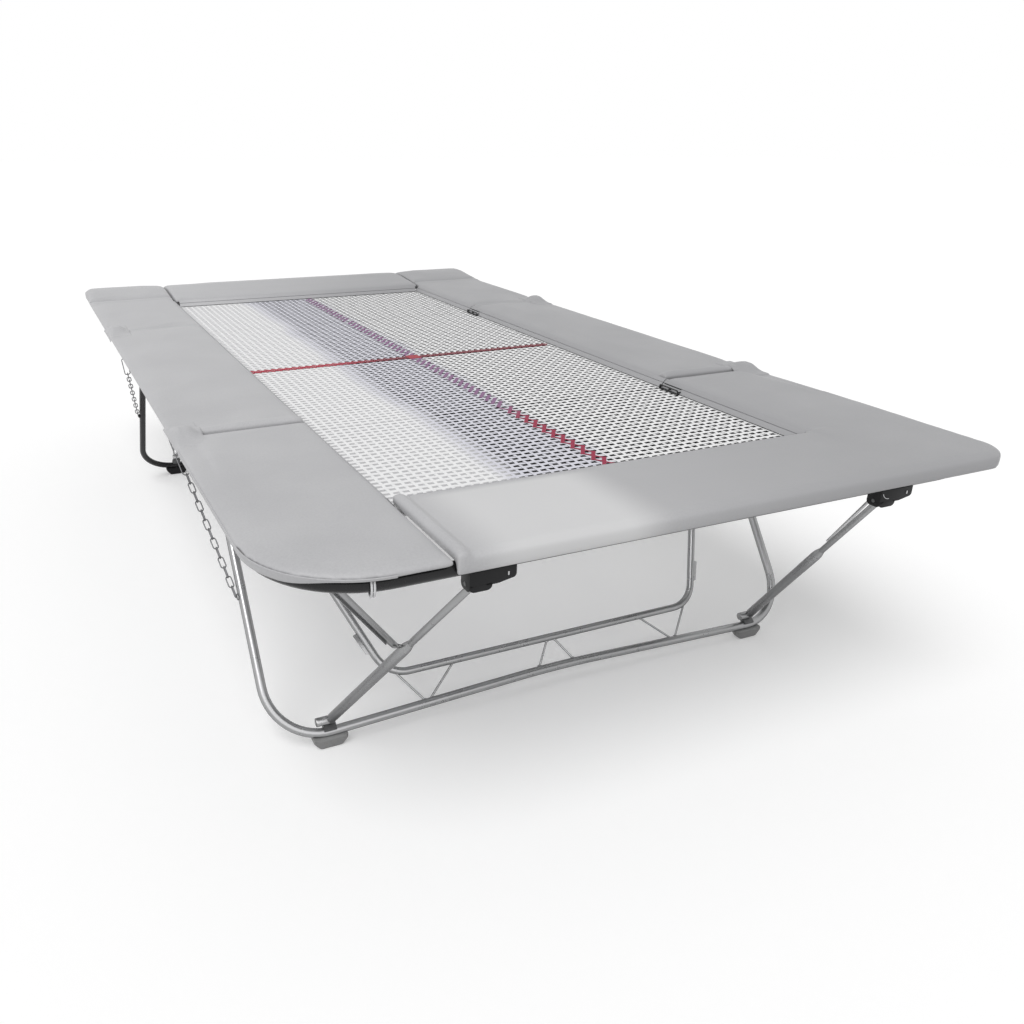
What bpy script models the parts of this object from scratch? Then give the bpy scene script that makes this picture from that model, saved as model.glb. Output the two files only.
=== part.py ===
# A full-size folding gymnastics trampoline: a middle section between two fold-out end sections,
# standing on two inclined leg frames, with a strut from each foot to the end tube.
# Y is the long direction, X the width, Z up, and the origin is on the floor at the centre.

import math

import bmesh
import bpy
from mathutils import Matrix, Vector

GAP = 0.0003
WELD = 0.00001

# Frame, between tube centrelines
FRAME_LENGTH = 5.14
FRAME_WIDTH = 2.97
MIDDLE_LENGTH = 2.22
RAIL_HEIGHT = 1.150
RAIL_RADIUS = 0.025
CORNER_RADIUS = 0.34
SECTION_GAP = 0.003

# Bed and springs
BED_END_ROOM = 0.440
BED_SIDE_ROOM = 0.420
BED_THICKNESS = 0.006
BED_BORDER = 0.05
NET_STRAP = 0.10
MIDDLE_NET = (6, 6)
END_NET = (6, 3)
SPRING_RADIUS = 0.011
SPRING_HOOK_RADIUS = 0.004
SPRING_HOOK_LENGTH = 0.045
SPRING_PITCH = 0.145
HOOK_RAIL_RADIUS = 0.005
HOOK_RAIL_END = 0.006

# Pads
PAD_OVERHANG = 0.025
PAD_THICKNESS = 0.030
PAD_CROWN = 0.008
PAD_EDGE_DROP = 0.008
PAD_EDGE_ROUND = 0.022
PAD_CLEARANCE = 0.004
PAD_TIGHT_CORNER = 0.130  # all but the near left corner, where the pad follows the tube
PAD_END_COVER = 0.500
PAD_SIDE_COVER = 0.525
CORNER_SEAM_INSET = 0.390
LIP_HEIGHT = 0.035
HINGE_NOTCH = (0.100, 0.075)
STRAP_INSET = 0.275
STRAP_CORD = 0.0025
STRAP_OPENING = 42.0
STRAP_CLEARANCE = 0.001

# Fold hinges between the sections
FOLD_CLEARANCE = 0.009
FOLD_PIN_RADIUS = 0.006
FOLD_EYE_RADIUS = 0.014
FOLD_BASE_LENGTH = 0.055
FOLD_TONGUE = 0.012
FOLD_CHEEK = 0.006
FOLD_SIDE_CLEARANCE = 0.001
FOLD_PIN_END = 0.005

# Leg frames
LEG_PIVOT_DROP = 0.100
LEG_PIVOT_SETBACK = 0.060
LEG_SPREAD = 0.720
OUTER_TUBE_RADIUS = 0.020
OUTER_INSET = 0.135
OUTER_BEND = 0.24
LOWER_TUBE_HEIGHT = 0.058
LOWER_TUBE_RISE = 0.035
INNER_TUBE_RADIUS = 0.017
INNER_TOP_INSET = 0.130
INNER_BEND_INSET = 0.540
INNER_BEND = 0.15
CROSS_TUBE_HEIGHT = 0.200
LEG_SLEEVE_RADIUS = 0.024
LEG_PIN_RADIUS = 0.010
LEG_BORE_CLEARANCE = 0.0006
LEG_BRACKET_WIDTH = 0.050
LEG_BRACKET_PLATE = 0.006
LEG_BRACKET_INSET = 0.049
LEG_BRACKET_HEADROOM = 0.039
LEG_SIDE_CLEARANCE = 0.005
LEG_PIN_END = 0.004
LATTICE_RADIUS = 0.005
LATTICE_MIDDLE = (0.012, 0.10)
LATTICE_SIDE = (0.15, 0.32, 0.02)
LATTICE_BEND_RISE = 0.022
GUSSET_PLATE = 0.005
GUSSET_STRIP = ((0.039, 0.080), (0.075, 0.088), (0.114, 0.160), (0.082, 0.170))
GUSSET_WEB = ((0.0, 0.250), (0.0, 0.0), (0.098, 0.0))
FOOT_SIZE = (0.130, 0.062, 0.052)
FOOT_INSET = 0.240

# Struts, their seats on the leg tube and their saddles on the end tube
STRUT_TOP_INSET = 0.620
STRUT_RADIUS = 0.0205
STRUT_ROD_RADIUS = 0.013
STRUT_SLEEVE_RADIUS = 0.0235
STRUT_JOINT_SHARE = 0.60
STRUT_SLEEVE_LENGTH = 0.17
STRUT_PIVOT_DROP = 0.060
STRUT_PIN_RADIUS = 0.006
STRUT_EYE_RADIUS = 0.015
STRUT_FOOT_RADIUS = 0.015
STRUT_FOOT_REACH = 0.040
STRUT_FOOT_RISE = 0.056
STRUT_TAPER = 0.030
STRUT_ROD_DEPTH = 0.100
STRUT_SIDE_CLEARANCE = 0.001
STRUT_LUG_DROP = 0.012
STRUT_LUG_WIDTH = 0.022
STRUT_LUG_PLATE = 0.005
SEAT_SIZE = (0.055, 0.050, 0.066)
SADDLE_LENGTH = 0.150
SADDLE_OFFSET = 0.050
SADDLE_WALL = 0.006
SADDLE_LOBE = 0.072
SADDLE_ROUND = (0.010, 0.018)
SADDLE_DEPTH = 0.064
SADDLE_LIP_CLEARANCE = 0.001
SADDLE_BACK_DROP = 0.014
SADDLE_SLOT = (0.017, 0.028)
SADDLE_EYE_CLEARANCE = 0.0015
SADDLE_SLOT_LEAD = 0.006

# Side braces between strut and end frame corner
BRACE_REACH = (0.312, 0.088, 0.372)
BRACE_OFFSET = 0.042
BRACE_WIDTH = 0.028
BRACE_DEPTH = 0.012
BRACE_PLATE = 0.003
BRACE_NOTCH = 0.034
BRACE_STUD_RADIUS = 0.004
BRACE_STUD_LENGTH = 0.010
BRACE_SIDE_CLEARANCE = 0.0005
BRACE_LUG_PLATE = 0.006
BRACE_LUG_WIDTH = 0.024
BRACE_LUG_RISE = 0.022

# Safety chains
CHAIN_ANCHOR_SETBACK = 0.310
CHAIN_ANCHOR_DROP = 0.048
CHAIN_LEG_HEIGHT = 0.570
CHAIN_WIRE = 0.0028
CHAIN_LINKS = 9
CHAIN_LINK_WIDTH = 0.024
CHAIN_LINK_OVERLAP = 0.0015
CHAIN_ANCHOR_RADIUS = 0.011
CHAIN_ANCHOR_PLATE = 0.005
CHAIN_EYE_CLEARANCE = 0.0006
CHAIN_RING_RADIUS = 0.012
CHAIN_RING_SINK = 0.0012
CHAIN_HANDLE = (0.200, 0.030)
CHAIN_SIDE_CLEARANCE = 0.0006

# Values that follow from the ones above
RAIL_X = FRAME_WIDTH / 2
END_Y = FRAME_LENGTH / 2
FOLD_Y = MIDDLE_LENGTH / 2
PAD_BOTTOM = RAIL_HEIGHT + RAIL_RADIUS + GAP
PAD_TOP = PAD_BOTTOM + PAD_THICKNESS
FOLD_Z = PAD_TOP + PAD_CROWN + FOLD_CLEARANCE
PAD_X = RAIL_X + RAIL_RADIUS + PAD_OVERHANG
PAD_Y = END_Y + RAIL_RADIUS + PAD_OVERHANG
PAD_CORNER = CORNER_RADIUS + RAIL_RADIUS + PAD_OVERHANG
OPENING_X = RAIL_X - PAD_SIDE_COVER
OPENING_Y = END_Y - PAD_END_COVER
CORNER_SEAM = END_Y - CORNER_SEAM_INSET
STRAP_X = RAIL_X - STRAP_INSET
BED_X = RAIL_X - BED_SIDE_ROOM
HOOK_RAIL_INSET = RAIL_RADIUS + GAP + HOOK_RAIL_RADIUS
BED_Y = END_Y - BED_END_ROOM
LEG_PIVOT_Y = FOLD_Y - LEG_PIVOT_SETBACK
LEG_PIVOT_Z = RAIL_HEIGHT - LEG_PIVOT_DROP
LEG_LEAN = LEG_SPREAD / (LEG_PIVOT_Z - LOWER_TUBE_HEIGHT)
OUTER_X = RAIL_X - OUTER_INSET
INNER_TOP_X = OUTER_X - INNER_TOP_INSET
INNER_BEND_X = OUTER_X - INNER_BEND_INSET
FOOT_X = OUTER_X - FOOT_INSET
STRUT_TOP_X = RAIL_X - STRUT_TOP_INSET
STRUT_PIVOT_Z = RAIL_HEIGHT - STRUT_PIVOT_DROP
SADDLE_BOTTOM = STRUT_PIVOT_Z - STRUT_EYE_RADIUS - SADDLE_WALL
CHAIN_ANCHOR_Y = FOLD_Y - CHAIN_ANCHOR_SETBACK
CHAIN_ANCHOR_Z = RAIL_HEIGHT - CHAIN_ANCHOR_DROP
LEG_STRETCH = math.hypot(1, LEG_LEAN)

HALVES = {"near": Matrix.Identity(4), "far": Matrix.Rotation(math.pi, 4, "Z")}
STEEL = ((0.52, 0.53, 0.54), 0.32, 0.9)
DARK_STEEL = ((0.035, 0.036, 0.038), 0.45, 0.3)
PLASTIC = ((0.012, 0.012, 0.013), 0.5, 0.0)
RUBBER = ((0.03, 0.03, 0.031), 0.8, 0.0)
VINYL = ((0.43, 0.43, 0.44), 0.5, 0.0)
WEBBING = ((0.85, 0.85, 0.87), 0.8, 0.0)


for obj in list(bpy.data.objects):
    bpy.data.objects.remove(obj)
PARTS = bpy.data.collections.new("gymnastics_trampoline")
CUTTERS = bpy.data.collections.new("cutters")
for collection in (PARTS, CUTTERS):
    bpy.context.scene.collection.children.link(collection)


def finish(name, look):
    colour, roughness, metallic = look
    material = bpy.data.materials.new(name)
    material.use_nodes = True
    shader = material.node_tree.nodes["Principled BSDF"]
    shader.inputs["Base Color"].default_value = (*colour, 1)
    shader.inputs["Roughness"].default_value = roughness
    shader.inputs["Metallic"].default_value = metallic
    return material


def body(name, place, parent=None):
    """An empty on a joint's axis, which carries the pieces that move there."""
    empty = bpy.data.objects.new(name, None)
    empty.empty_display_size = 0.1
    empty.parent = parent
    empty.location = Vector(place) - (world_place(parent) if parent else Vector())
    PARTS.objects.link(empty)
    return empty


def world_place(obj):
    place = Vector(obj.location)
    while obj.parent:
        obj = obj.parent
        place += Vector(obj.location)
    return place


def scratch(data, place=None):
    """A working object, which a node or a cut uses up."""
    obj = bpy.data.objects.new("scratch", data)
    CUTTERS.objects.link(obj)
    if place:
        obj.matrix_world = place
    return obj


def used_up(obj):
    """The evaluated mesh of a working object in its own place, and the object removed."""
    bpy.context.view_layer.update()
    graph = bpy.context.evaluated_depsgraph_get()
    data = bpy.data.meshes.new_from_object(obj.evaluated_get(graph))
    data.transform(obj.matrix_world)
    bpy.data.objects.remove(obj)
    return data


def welded(data):
    mesh = bmesh.new()
    mesh.from_mesh(data)
    bmesh.ops.remove_doubles(mesh, verts=mesh.verts, dist=WELD)
    bmesh.ops.recalc_face_normals(mesh, faces=mesh.faces)
    mesh.to_mesh(data)
    mesh.free()
    return data


def tube(points, radius, sides=12, closed=False, swell=None):
    """A round bar along the points. swell gives each point its share of the radius."""
    curve = bpy.data.curves.new("tube", "CURVE")
    curve.dimensions = "3D"
    curve.bevel_depth = radius
    curve.bevel_resolution = sides // 2 - 2
    curve.use_fill_caps = not closed
    spline = curve.splines.new("POLY")
    spline.points.add(len(points) - 1)
    spline.use_cyclic_u = closed
    for index, (knot, point) in enumerate(zip(spline.points, points)):
        knot.co = (*point, 1)
        knot.radius = swell[index] if swell else 1
    return scratch(welded(used_up(scratch(curve))))


def plate(outline, thickness, place, holes=()):
    """A flat piece with this outline in its own XY plane, centred on its thickness."""
    curve = bpy.data.curves.new("plate", "CURVE")
    curve.dimensions = "2D"
    curve.fill_mode = "BOTH"
    curve.extrude = thickness / 2
    for loop in (outline, *holes):
        spline = curve.splines.new("POLY")
        spline.points.add(len(loop) - 1)
        spline.use_cyclic_u = True
        for knot, point in zip(spline.points, loop):
            knot.co = (point[0], point[1], 0, 1)
    return scratch(welded(used_up(scratch(curve, place))))


def bar(start, end, radius, sides=12):
    return tube([Vector(start), Vector(end)], radius, sides)


def block(low, high):
    mesh = bmesh.new()
    bmesh.ops.create_cube(mesh, size=1)
    low, high = Vector(low), Vector(high)
    for vert in mesh.verts:
        vert.co = [a + (b - a) * (c + 0.5) for a, b, c in zip(low, high, vert.co)]
    data = bpy.data.meshes.new("block")
    mesh.to_mesh(data)
    mesh.free()
    return scratch(data)


def combine(piece, others, operation):
    for other in others:
        modifier = piece.modifiers.new(operation.title(), "BOOLEAN")
        modifier.operation = operation
        modifier.solver = "EXACT"
        modifier.object = other
    data = used_up(piece)
    for other in others:
        bpy.data.objects.remove(other)
    return scratch(data)


def carve(piece, *cutters):
    return combine(piece, cutters, "DIFFERENCE")


def join(piece, *others):
    return combine(piece, others, "UNION")


def node(name, piece, carrier, look, half="near", smooth=True):
    """Turns a working object into a named piece that moves with its carrier."""
    data = used_up(piece)
    data.transform(HALVES[half])
    data.transform(Matrix.Translation(-world_place(carrier)))
    data.name = name
    if smooth:
        data.shade_smooth()
        data.set_sharp_from_angle(angle=math.radians(40))
    data.materials.clear()
    data.materials.append(finish(name, look))
    obj = bpy.data.objects.new(name, data)
    obj.parent = carrier
    PARTS.objects.link(obj)
    return obj


def gathered(pieces):
    """Working objects as one, each still a shell of its own."""
    mesh = bmesh.new()
    for piece in pieces:
        mesh.from_mesh(used_up(piece))
    data = bpy.data.meshes.new("gathered")
    mesh.to_mesh(data)
    mesh.free()
    return scratch(data)


def circle(centre, radius, sides=16):
    turn = 2 * math.pi / sides
    return [
        (centre[0] + radius * math.cos(turn * step), centre[1] + radius * math.sin(turn * step))
        for step in range(sides)
    ]


def rounded(points, radii, steps=5, closed=False):
    """The path through the points, with an arc of its radius at each corner that has one."""
    points = [Vector((*point, 0)) if len(point) == 2 else Vector(point) for point in points]
    path = []
    for index, (corner, radius) in enumerate(zip(points, radii)):
        if not radius:
            path.append(corner)
            continue
        before = (points[index - 1] - corner).normalized()
        after = (points[(index + 1) % len(points)] - corner).normalized()
        half_angle = before.angle(after) / 2
        centre = corner + (before + after).normalized() * radius / math.sin(half_angle)
        spoke = corner + before * radius / math.tan(half_angle) - centre
        last = corner + after * radius / math.tan(half_angle) - centre
        axis = spoke.cross(last).normalized()
        sweep = math.pi - 2 * half_angle
        for step in range(steps + 1):
            path.append(centre + Matrix.Rotation(sweep * step / steps, 3, axis) @ spoke)
    return path


def upright(x):
    """The place of a plate that stands in a YZ plane at x, its X along world Y."""
    return Matrix(((0, 0, 1, x), (1, 0, 0, 0), (0, 1, 0, 0), (0, 0, 0, 1)))


def fronted(y):
    """The place of a plate that faces along Y, its X along world X and its Y up."""
    return Matrix(((1, 0, 0, 0), (0, 0, -1, y), (0, 1, 0, 0), (0, 0, 0, 1)))


def world_name(half, side):
    """left is -X seen from the near end, whichever half the piece is in."""
    sign = side if half == "near" else -side
    return "left" if sign < 0 else "right"


# The two side rails of the middle section

def side_rail(side, grow=0.0):
    reach = FOLD_Y - SECTION_GAP / 2 + grow
    start = (side * RAIL_X, -reach, RAIL_HEIGHT)
    return bar(start, (side * RAIL_X, reach, RAIL_HEIGHT), RAIL_RADIUS + grow)


def end_path(inset):
    """Half a frame in plan, with rounded corners, from one fold hinge round to the other."""
    start, side, end = FOLD_Y + SECTION_GAP / 2, RAIL_X - inset, END_Y - inset
    corners = [(-side, -start), (-side, -end), (side, -end), (side, -start)]
    radius = CORNER_RADIUS - inset
    return [
        (point.x, point.y, RAIL_HEIGHT)
        for point in rounded(corners, (0, radius, radius, 0), 8)
    ]


def end_tube(grow=0.0):
    return tube(end_path(0), RAIL_RADIUS + grow)


# Fold hinges: a fork of two cheeks with its pin on the middle rail, and a tongue on the end tube

def hinge_ear(x, thickness, direction, holes=()):
    """An ear from its seat on the tube up to the eye round the fold pin. direction is +1 on the middle."""
    reach = direction * FOLD_EYE_RADIUS
    eye = [
        (-FOLD_Y + FOLD_EYE_RADIUS * math.cos(angle), FOLD_Z + FOLD_EYE_RADIUS * math.sin(angle))
        for angle in (math.radians(90 + direction * 30 * (step - 2)) for step in range(7))
    ]
    base = [(-FOLD_Y + reach + direction * FOLD_BASE_LENGTH, RAIL_HEIGHT), (-FOLD_Y + reach, RAIL_HEIGHT)]
    return plate([*base, *reversed(eye)], thickness, upright(x), holes)


def fork(side):
    """Two cheeks and the pin between them, at the near fold line."""
    offset = FOLD_TONGUE / 2 + FOLD_SIDE_CLEARANCE + FOLD_CHEEK / 2
    reach = offset + FOLD_CHEEK / 2 + FOLD_PIN_END
    start = (side * RAIL_X - reach, -FOLD_Y, FOLD_Z)
    pin = bar(start, (side * RAIL_X + reach, -FOLD_Y, FOLD_Z), FOLD_PIN_RADIUS)
    return [pin] + [hinge_ear(side * RAIL_X + shift, FOLD_CHEEK, 1) for shift in (-offset, offset)]


def tongue(side):
    hole = circle((-FOLD_Y, FOLD_Z), FOLD_PIN_RADIUS + GAP, 12)
    return hinge_ear(side * RAIL_X, FOLD_TONGUE, -1, [hole])


# The bed: a flat net of crossing straps, split at the two fold lines

def strap_lines(low, high, holes, low_border, high_border):
    """Edges of the straps across one direction: border, gap, strap, gap, ... , border."""
    pitch = (high - low - low_border - high_border + NET_STRAP) / holes
    lines = [low]
    for index in range(holes):
        start = low + low_border + index * pitch
        lines += [start, start + pitch - NET_STRAP]
    return [*lines, high]


def net(across, along):
    mesh = bmesh.new()
    columns, rows = len(across) - 1, len(along) - 1
    bmesh.ops.create_grid(mesh, x_segments=columns, y_segments=rows, size=1)
    mesh.faces.ensure_lookup_table()
    for vert in mesh.verts:
        column = round((vert.co.x + 1) / 2 * columns)
        row = round((vert.co.y + 1) / 2 * rows)
        vert.co = (across[column], along[row], RAIL_HEIGHT)
    gaps = []
    for face in mesh.faces:
        centre = face.calc_center_median()
        column = sum(line < centre.x for line in across) - 1
        row = sum(line < centre.y for line in along) - 1
        if column % 2 and row % 2:
            gaps.append(face)
    bmesh.ops.delete(mesh, geom=gaps, context="FACES")
    data = bpy.data.meshes.new("net")
    mesh.to_mesh(data)
    mesh.free()
    sheet = scratch(data)
    shell = sheet.modifiers.new("Webbing", "SOLIDIFY")
    shell.thickness = BED_THICKNESS
    shell.offset = 0
    return sheet


def middle_net():
    reach = FOLD_Y - SECTION_GAP / 2
    across = strap_lines(-BED_X, BED_X, MIDDLE_NET[0], BED_BORDER, BED_BORDER)
    return net(across, strap_lines(-reach, reach, MIDDLE_NET[1], BED_BORDER, BED_BORDER))


def end_net():
    reach = FOLD_Y + SECTION_GAP / 2
    across = strap_lines(-BED_X, BED_X, END_NET[0], BED_BORDER, BED_BORDER)
    return net(across, strap_lines(-BED_Y, -reach, END_NET[1], BED_BORDER, BED_BORDER))


# Springs: each a close-wound body that tapers to its hooks, in rows along a hook rail on the tube

def spring(start, end):
    start, end = Vector(start), Vector(end)
    way = (end - start).normalized()
    points = [start, start + way * SPRING_HOOK_LENGTH, end - way * SPRING_HOOK_LENGTH, end]
    thin = SPRING_HOOK_RADIUS / SPRING_RADIUS
    return tube(points, SPRING_RADIUS, 4, swell=(thin, 1, 1, thin))


def spaced(low, high):
    count = round((high - low) / SPRING_PITCH)
    return [low + (high - low) * index / count for index in range(count + 1)]


def side_springs(side, low, high):
    """Springs from a side tube in to the bed, evenly spaced between two places along Y."""
    hook = side * (RAIL_X - HOOK_RAIL_INSET)
    edge = side * (BED_X + GAP)
    return [spring((hook, y, RAIL_HEIGHT), (edge, y, RAIL_HEIGHT)) for y in spaced(low, high)]


def middle_springs(side):
    reach = FOLD_Y - SPRING_PITCH / 2
    x = side * (RAIL_X - HOOK_RAIL_INSET)
    rail = bar((x, -reach, RAIL_HEIGHT), (x, reach, RAIL_HEIGHT), HOOK_RAIL_RADIUS, 4)
    return join(rail, gathered(side_springs(side, -reach + HOOK_RAIL_END, reach - HOOK_RAIL_END)))


def end_springs():
    rail = tube(end_path(HOOK_RAIL_INSET), HOOK_RAIL_RADIUS, 4)
    rows = []
    for side in (-1, 1):
        rows += side_springs(side, -BED_Y + BED_BORDER, -FOLD_Y - SPRING_PITCH / 2)
    reach = BED_X - BED_BORDER
    for x in spaced(-reach, reach):
        rows.append(spring((x, -END_Y + HOOK_RAIL_INSET, RAIL_HEIGHT), (x, -BED_Y - GAP, RAIL_HEIGHT)))
    return join(rail, gathered(rows))


# Pads: crowned cushions that lie on the tubes, with rounded outer corners

def grid_lines(low, high, stops=(), most=0.2):
    """Lines across a pad: its edges, one close inside each, the stops, and more where they lie far apart."""
    marks = sorted({low, low + PAD_EDGE_ROUND, *stops, high - PAD_EDGE_ROUND, high})
    lines = []
    for start, end in zip(marks, marks[1:]):
        count = max(1, math.ceil((end - start) / most))
        lines += [start + (end - start) * step / count for step in range(count)]
    return [*lines, high]


def grid_sheet(across, along, height):
    """A flat grid with these lines, and the faces sorted out by the box tests that follow."""
    mesh = bmesh.new()
    columns, rows = len(across) - 1, len(along) - 1
    bmesh.ops.create_grid(mesh, x_segments=columns, y_segments=rows, size=1)
    for vert in mesh.verts:
        column = round((vert.co.x + 1) / 2 * columns)
        row = round((vert.co.y + 1) / 2 * rows)
        vert.co = (across[column], along[row], height)
    return mesh


def inside(point, boxes):
    return any(
        low_x < point.x < high_x and low_y < point.y < high_y
        for (low_x, low_y), (high_x, high_y) in boxes
    )


def push_down(mesh, faces, height, keep):
    """Extrudes the faces down to a height. keep leaves the ones above in place."""
    edges = list({edge for face in faces for edge in face.edges})
    result = bmesh.ops.extrude_face_region(mesh, geom=faces + edges, use_keep_orig=keep)
    for item in result["geom"]:
        if isinstance(item, bmesh.types.BMVert):
            item.co.z = height


def cushion(across, along, missing=(), corners=(), lips=()):
    """missing lists boxes left out of the grid, corners the rounded ones with their radius, lips boxes
    that hang lower."""
    mesh = grid_sheet(across, along, PAD_TOP)
    gone = [face for face in mesh.faces if inside(face.calc_center_median(), missing)]
    bmesh.ops.delete(mesh, geom=gone, context="FACES")
    for vert in mesh.verts:
        if vert.is_boundary:
            vert.co.z -= PAD_EDGE_DROP
        elif not any(edge.other_vert(vert).is_boundary for edge in vert.link_edges):
            vert.co.z += PAD_CROWN
    push_down(mesh, mesh.faces[:], PAD_BOTTOM, True)
    bmesh.ops.recalc_face_normals(mesh, faces=mesh.faces)
    lower = [face for face in mesh.faces if face.normal.z < -0.9]
    rim = [face for face in lower if inside(face.calc_center_median(), lips)]
    if rim:
        push_down(mesh, rim, PAD_BOTTOM - LIP_HEIGHT, False)
    for corner in corners:
        round_corner(mesh.verts, *corner)
    data = bpy.data.meshes.new("cushion")
    mesh.to_mesh(data)
    mesh.free()
    return scratch(welded(data))


def round_corner(verts, side_x, side_y, radius):
    """Draws the square corner of the grid in to an arc, ring by ring."""
    centre_x = side_x * (PAD_X - radius)
    centre_y = side_y * (PAD_Y - radius)
    for vert in verts:
        u = (vert.co.x - centre_x) * side_x
        v = (vert.co.y - centre_y) * side_y
        if u > 0 and v > 0:
            shrink = max(u, v) / math.hypot(u, v)
            vert.co.x = centre_x + side_x * u * shrink
            vert.co.y = centre_y + side_y * v * shrink


def corner_stops(reach, radius):
    return [reach - radius * share for share in (1.0, 0.75, 0.5, 0.25)]


def notch(side, end):
    """The box left out of the pads on both sides of a fold line, round its hinge."""
    depth, width = HINGE_NOTCH
    xs = sorted((side * (RAIL_X - width / 2), side * (PAD_X + width)))
    ys = sorted((end * (FOLD_Y - depth), end * (FOLD_Y + depth)))
    return (xs[0], ys[0]), (xs[1], ys[1])


def side_stops(side):
    return [side * (RAIL_X - HINGE_NOTCH[1] / 2)]


def mirrored(side, low, high):
    return tuple(sorted((side * low, side * high)))


def middle_pad(side):
    reach = FOLD_Y - PAD_CLEARANCE / 2
    stop = FOLD_Y - HINGE_NOTCH[0]
    across = grid_lines(*mirrored(side, OPENING_X, PAD_X), side_stops(side))
    along = grid_lines(-reach, reach, (-stop, stop), 0.36)
    return cushion(across, along, [notch(side, -1), notch(side, 1)])


def end_side_pad(side, end, stop, corner):
    """A pad along one side of an end section, from the fold line out to stop."""
    start = FOLD_Y + PAD_CLEARANCE / 2
    stops = [end * (FOLD_Y + HINGE_NOTCH[0])]
    wide = side_stops(side)
    if corner:
        stops += [end * place for place in corner_stops(PAD_Y, PAD_CORNER)]
        wide += [side * place for place in corner_stops(PAD_X, PAD_CORNER)]
    across = grid_lines(*mirrored(side, OPENING_X, PAD_X), wide)
    along = grid_lines(*mirrored(end, start, stop), stops, 0.3)
    corners = [(side, end, PAD_CORNER)] if corner else []
    return cushion(across, along, [notch(side, end)], corners)


def near_front_pad():
    """One pad across the near end that carries on up the right side to the fold line."""
    low_x = -OPENING_X + PAD_CLEARANCE
    fold = -FOLD_Y - PAD_CLEARANCE / 2
    wide = [OPENING_X, OPENING_X + PAD_EDGE_ROUND, *side_stops(1), *corner_stops(PAD_X, PAD_TIGHT_CORNER)]
    deep = [-OPENING_Y - PAD_EDGE_ROUND, -OPENING_Y, -FOLD_Y - HINGE_NOTCH[0]]
    deep += [-place for place in corner_stops(PAD_Y, PAD_TIGHT_CORNER)]
    across = grid_lines(low_x, PAD_X, wide, 0.36)
    along = grid_lines(-PAD_Y, fold, deep, 0.3)
    opening = (low_x - 1, -OPENING_Y), (OPENING_X, fold + 1)
    front = (-PAD_X - 1, -PAD_Y - 1), (PAD_X + 1, -PAD_Y + PAD_EDGE_ROUND)
    flank = (PAD_X - PAD_EDGE_ROUND, -PAD_Y - 1), (PAD_X + 1, fold + 1)
    return cushion(across, along, [opening, notch(1, -1)], [(1, -1, PAD_TIGHT_CORNER)], [front, flank])


def far_end_pad():
    reach = OPENING_X - PAD_CLEARANCE
    across = grid_lines(-reach, reach, (), 0.36)
    back = (-PAD_X, PAD_Y - PAD_EDGE_ROUND), (PAD_X, PAD_Y + 1)
    return cushion(across, grid_lines(OPENING_Y, PAD_Y, (), 0.2), lips=[back])


def far_corner_pad(side):
    wide = [side * place for place in corner_stops(PAD_X, PAD_TIGHT_CORNER)]
    across = grid_lines(*mirrored(side, OPENING_X, PAD_X), wide)
    along = grid_lines(CORNER_SEAM + PAD_CLEARANCE, PAD_Y, corner_stops(PAD_Y, PAD_TIGHT_CORNER))
    return cushion(across, along, corners=[(side, 1, PAD_TIGHT_CORNER)])


def pad_strap():
    """A cord sewn to the underside of the near left pad, which loops round the end tube's bend."""
    centre = Vector((CORNER_RADIUS - RAIL_X, CORNER_RADIUS - END_Y, RAIL_HEIGHT))
    turn = math.asin((STRAP_X + centre.x) / CORNER_RADIUS)
    spoke = Vector((-math.sin(turn), -math.cos(turn), 0))
    centre += spoke * CORNER_RADIUS
    radius = RAIL_RADIUS + 2 * HOOK_RAIL_RADIUS + STRAP_CORD + STRAP_CLEARANCE
    half = math.radians(180 - STRAP_OPENING)
    arc = [math.radians(-90) + half * step / 7 for step in range(-7, 8)]
    path = [(radius * math.cos(angle), radius * math.sin(angle)) for angle in arc]
    level = PAD_BOTTOM + PAD_THICKNESS / 3 - RAIL_HEIGHT
    path = [(path[0][0], level), *path, (path[-1][0], level)]
    return tube([centre + spoke * out + Vector((0, 0, up)) for out, up in path], STRAP_CORD, 6)


# Leg frames. Their tubes lie in one plane that leans out from the pivot line to the feet

def on_leg(x, height):
    return Vector((x, -LEG_PIVOT_Y - LEG_LEAN * (LEG_PIVOT_Z - height), height))


def leg_plate(outline, thickness):
    """A plate in the leg's plane, from points given by their X and their height."""
    up = Vector((0, LEG_LEAN, 1)) / LEG_STRETCH
    place = Matrix.Identity(4)
    place.col[1] = (*up, 0)
    place.col[2] = (*Vector((1, 0, 0)).cross(up), 0)
    place.translation = (0, -LEG_PIVOT_Y, LEG_PIVOT_Z)
    flat = [(x, (height - LEG_PIVOT_Z) * LEG_STRETCH) for x, height in outline]
    return plate(flat, thickness, place)


def outer_tube(grow=0.0):
    corners = [
        on_leg(-OUTER_X, LEG_PIVOT_Z),
        on_leg(-OUTER_X, LOWER_TUBE_HEIGHT),
        on_leg(0, LOWER_TUBE_HEIGHT + LOWER_TUBE_RISE),
        on_leg(OUTER_X, LOWER_TUBE_HEIGHT),
        on_leg(OUTER_X, LEG_PIVOT_Z),
    ]
    return tube(rounded(corners, (0, OUTER_BEND, 0, OUTER_BEND, 0), 5), OUTER_TUBE_RADIUS + grow, 10)


def inner_tube(grow=0.0):
    corners = [
        on_leg(-INNER_TOP_X, LEG_PIVOT_Z),
        on_leg(-INNER_BEND_X, CROSS_TUBE_HEIGHT),
        on_leg(INNER_BEND_X, CROSS_TUBE_HEIGHT),
        on_leg(INNER_TOP_X, LEG_PIVOT_Z),
    ]
    return tube(rounded(corners, (0, INNER_BEND, INNER_BEND, 0), 5), INNER_TUBE_RADIUS + grow, 10)


def lower_tube_height(x):
    return LOWER_TUBE_HEIGHT + LOWER_TUBE_RISE * (1 - abs(x) / OUTER_X)


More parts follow.
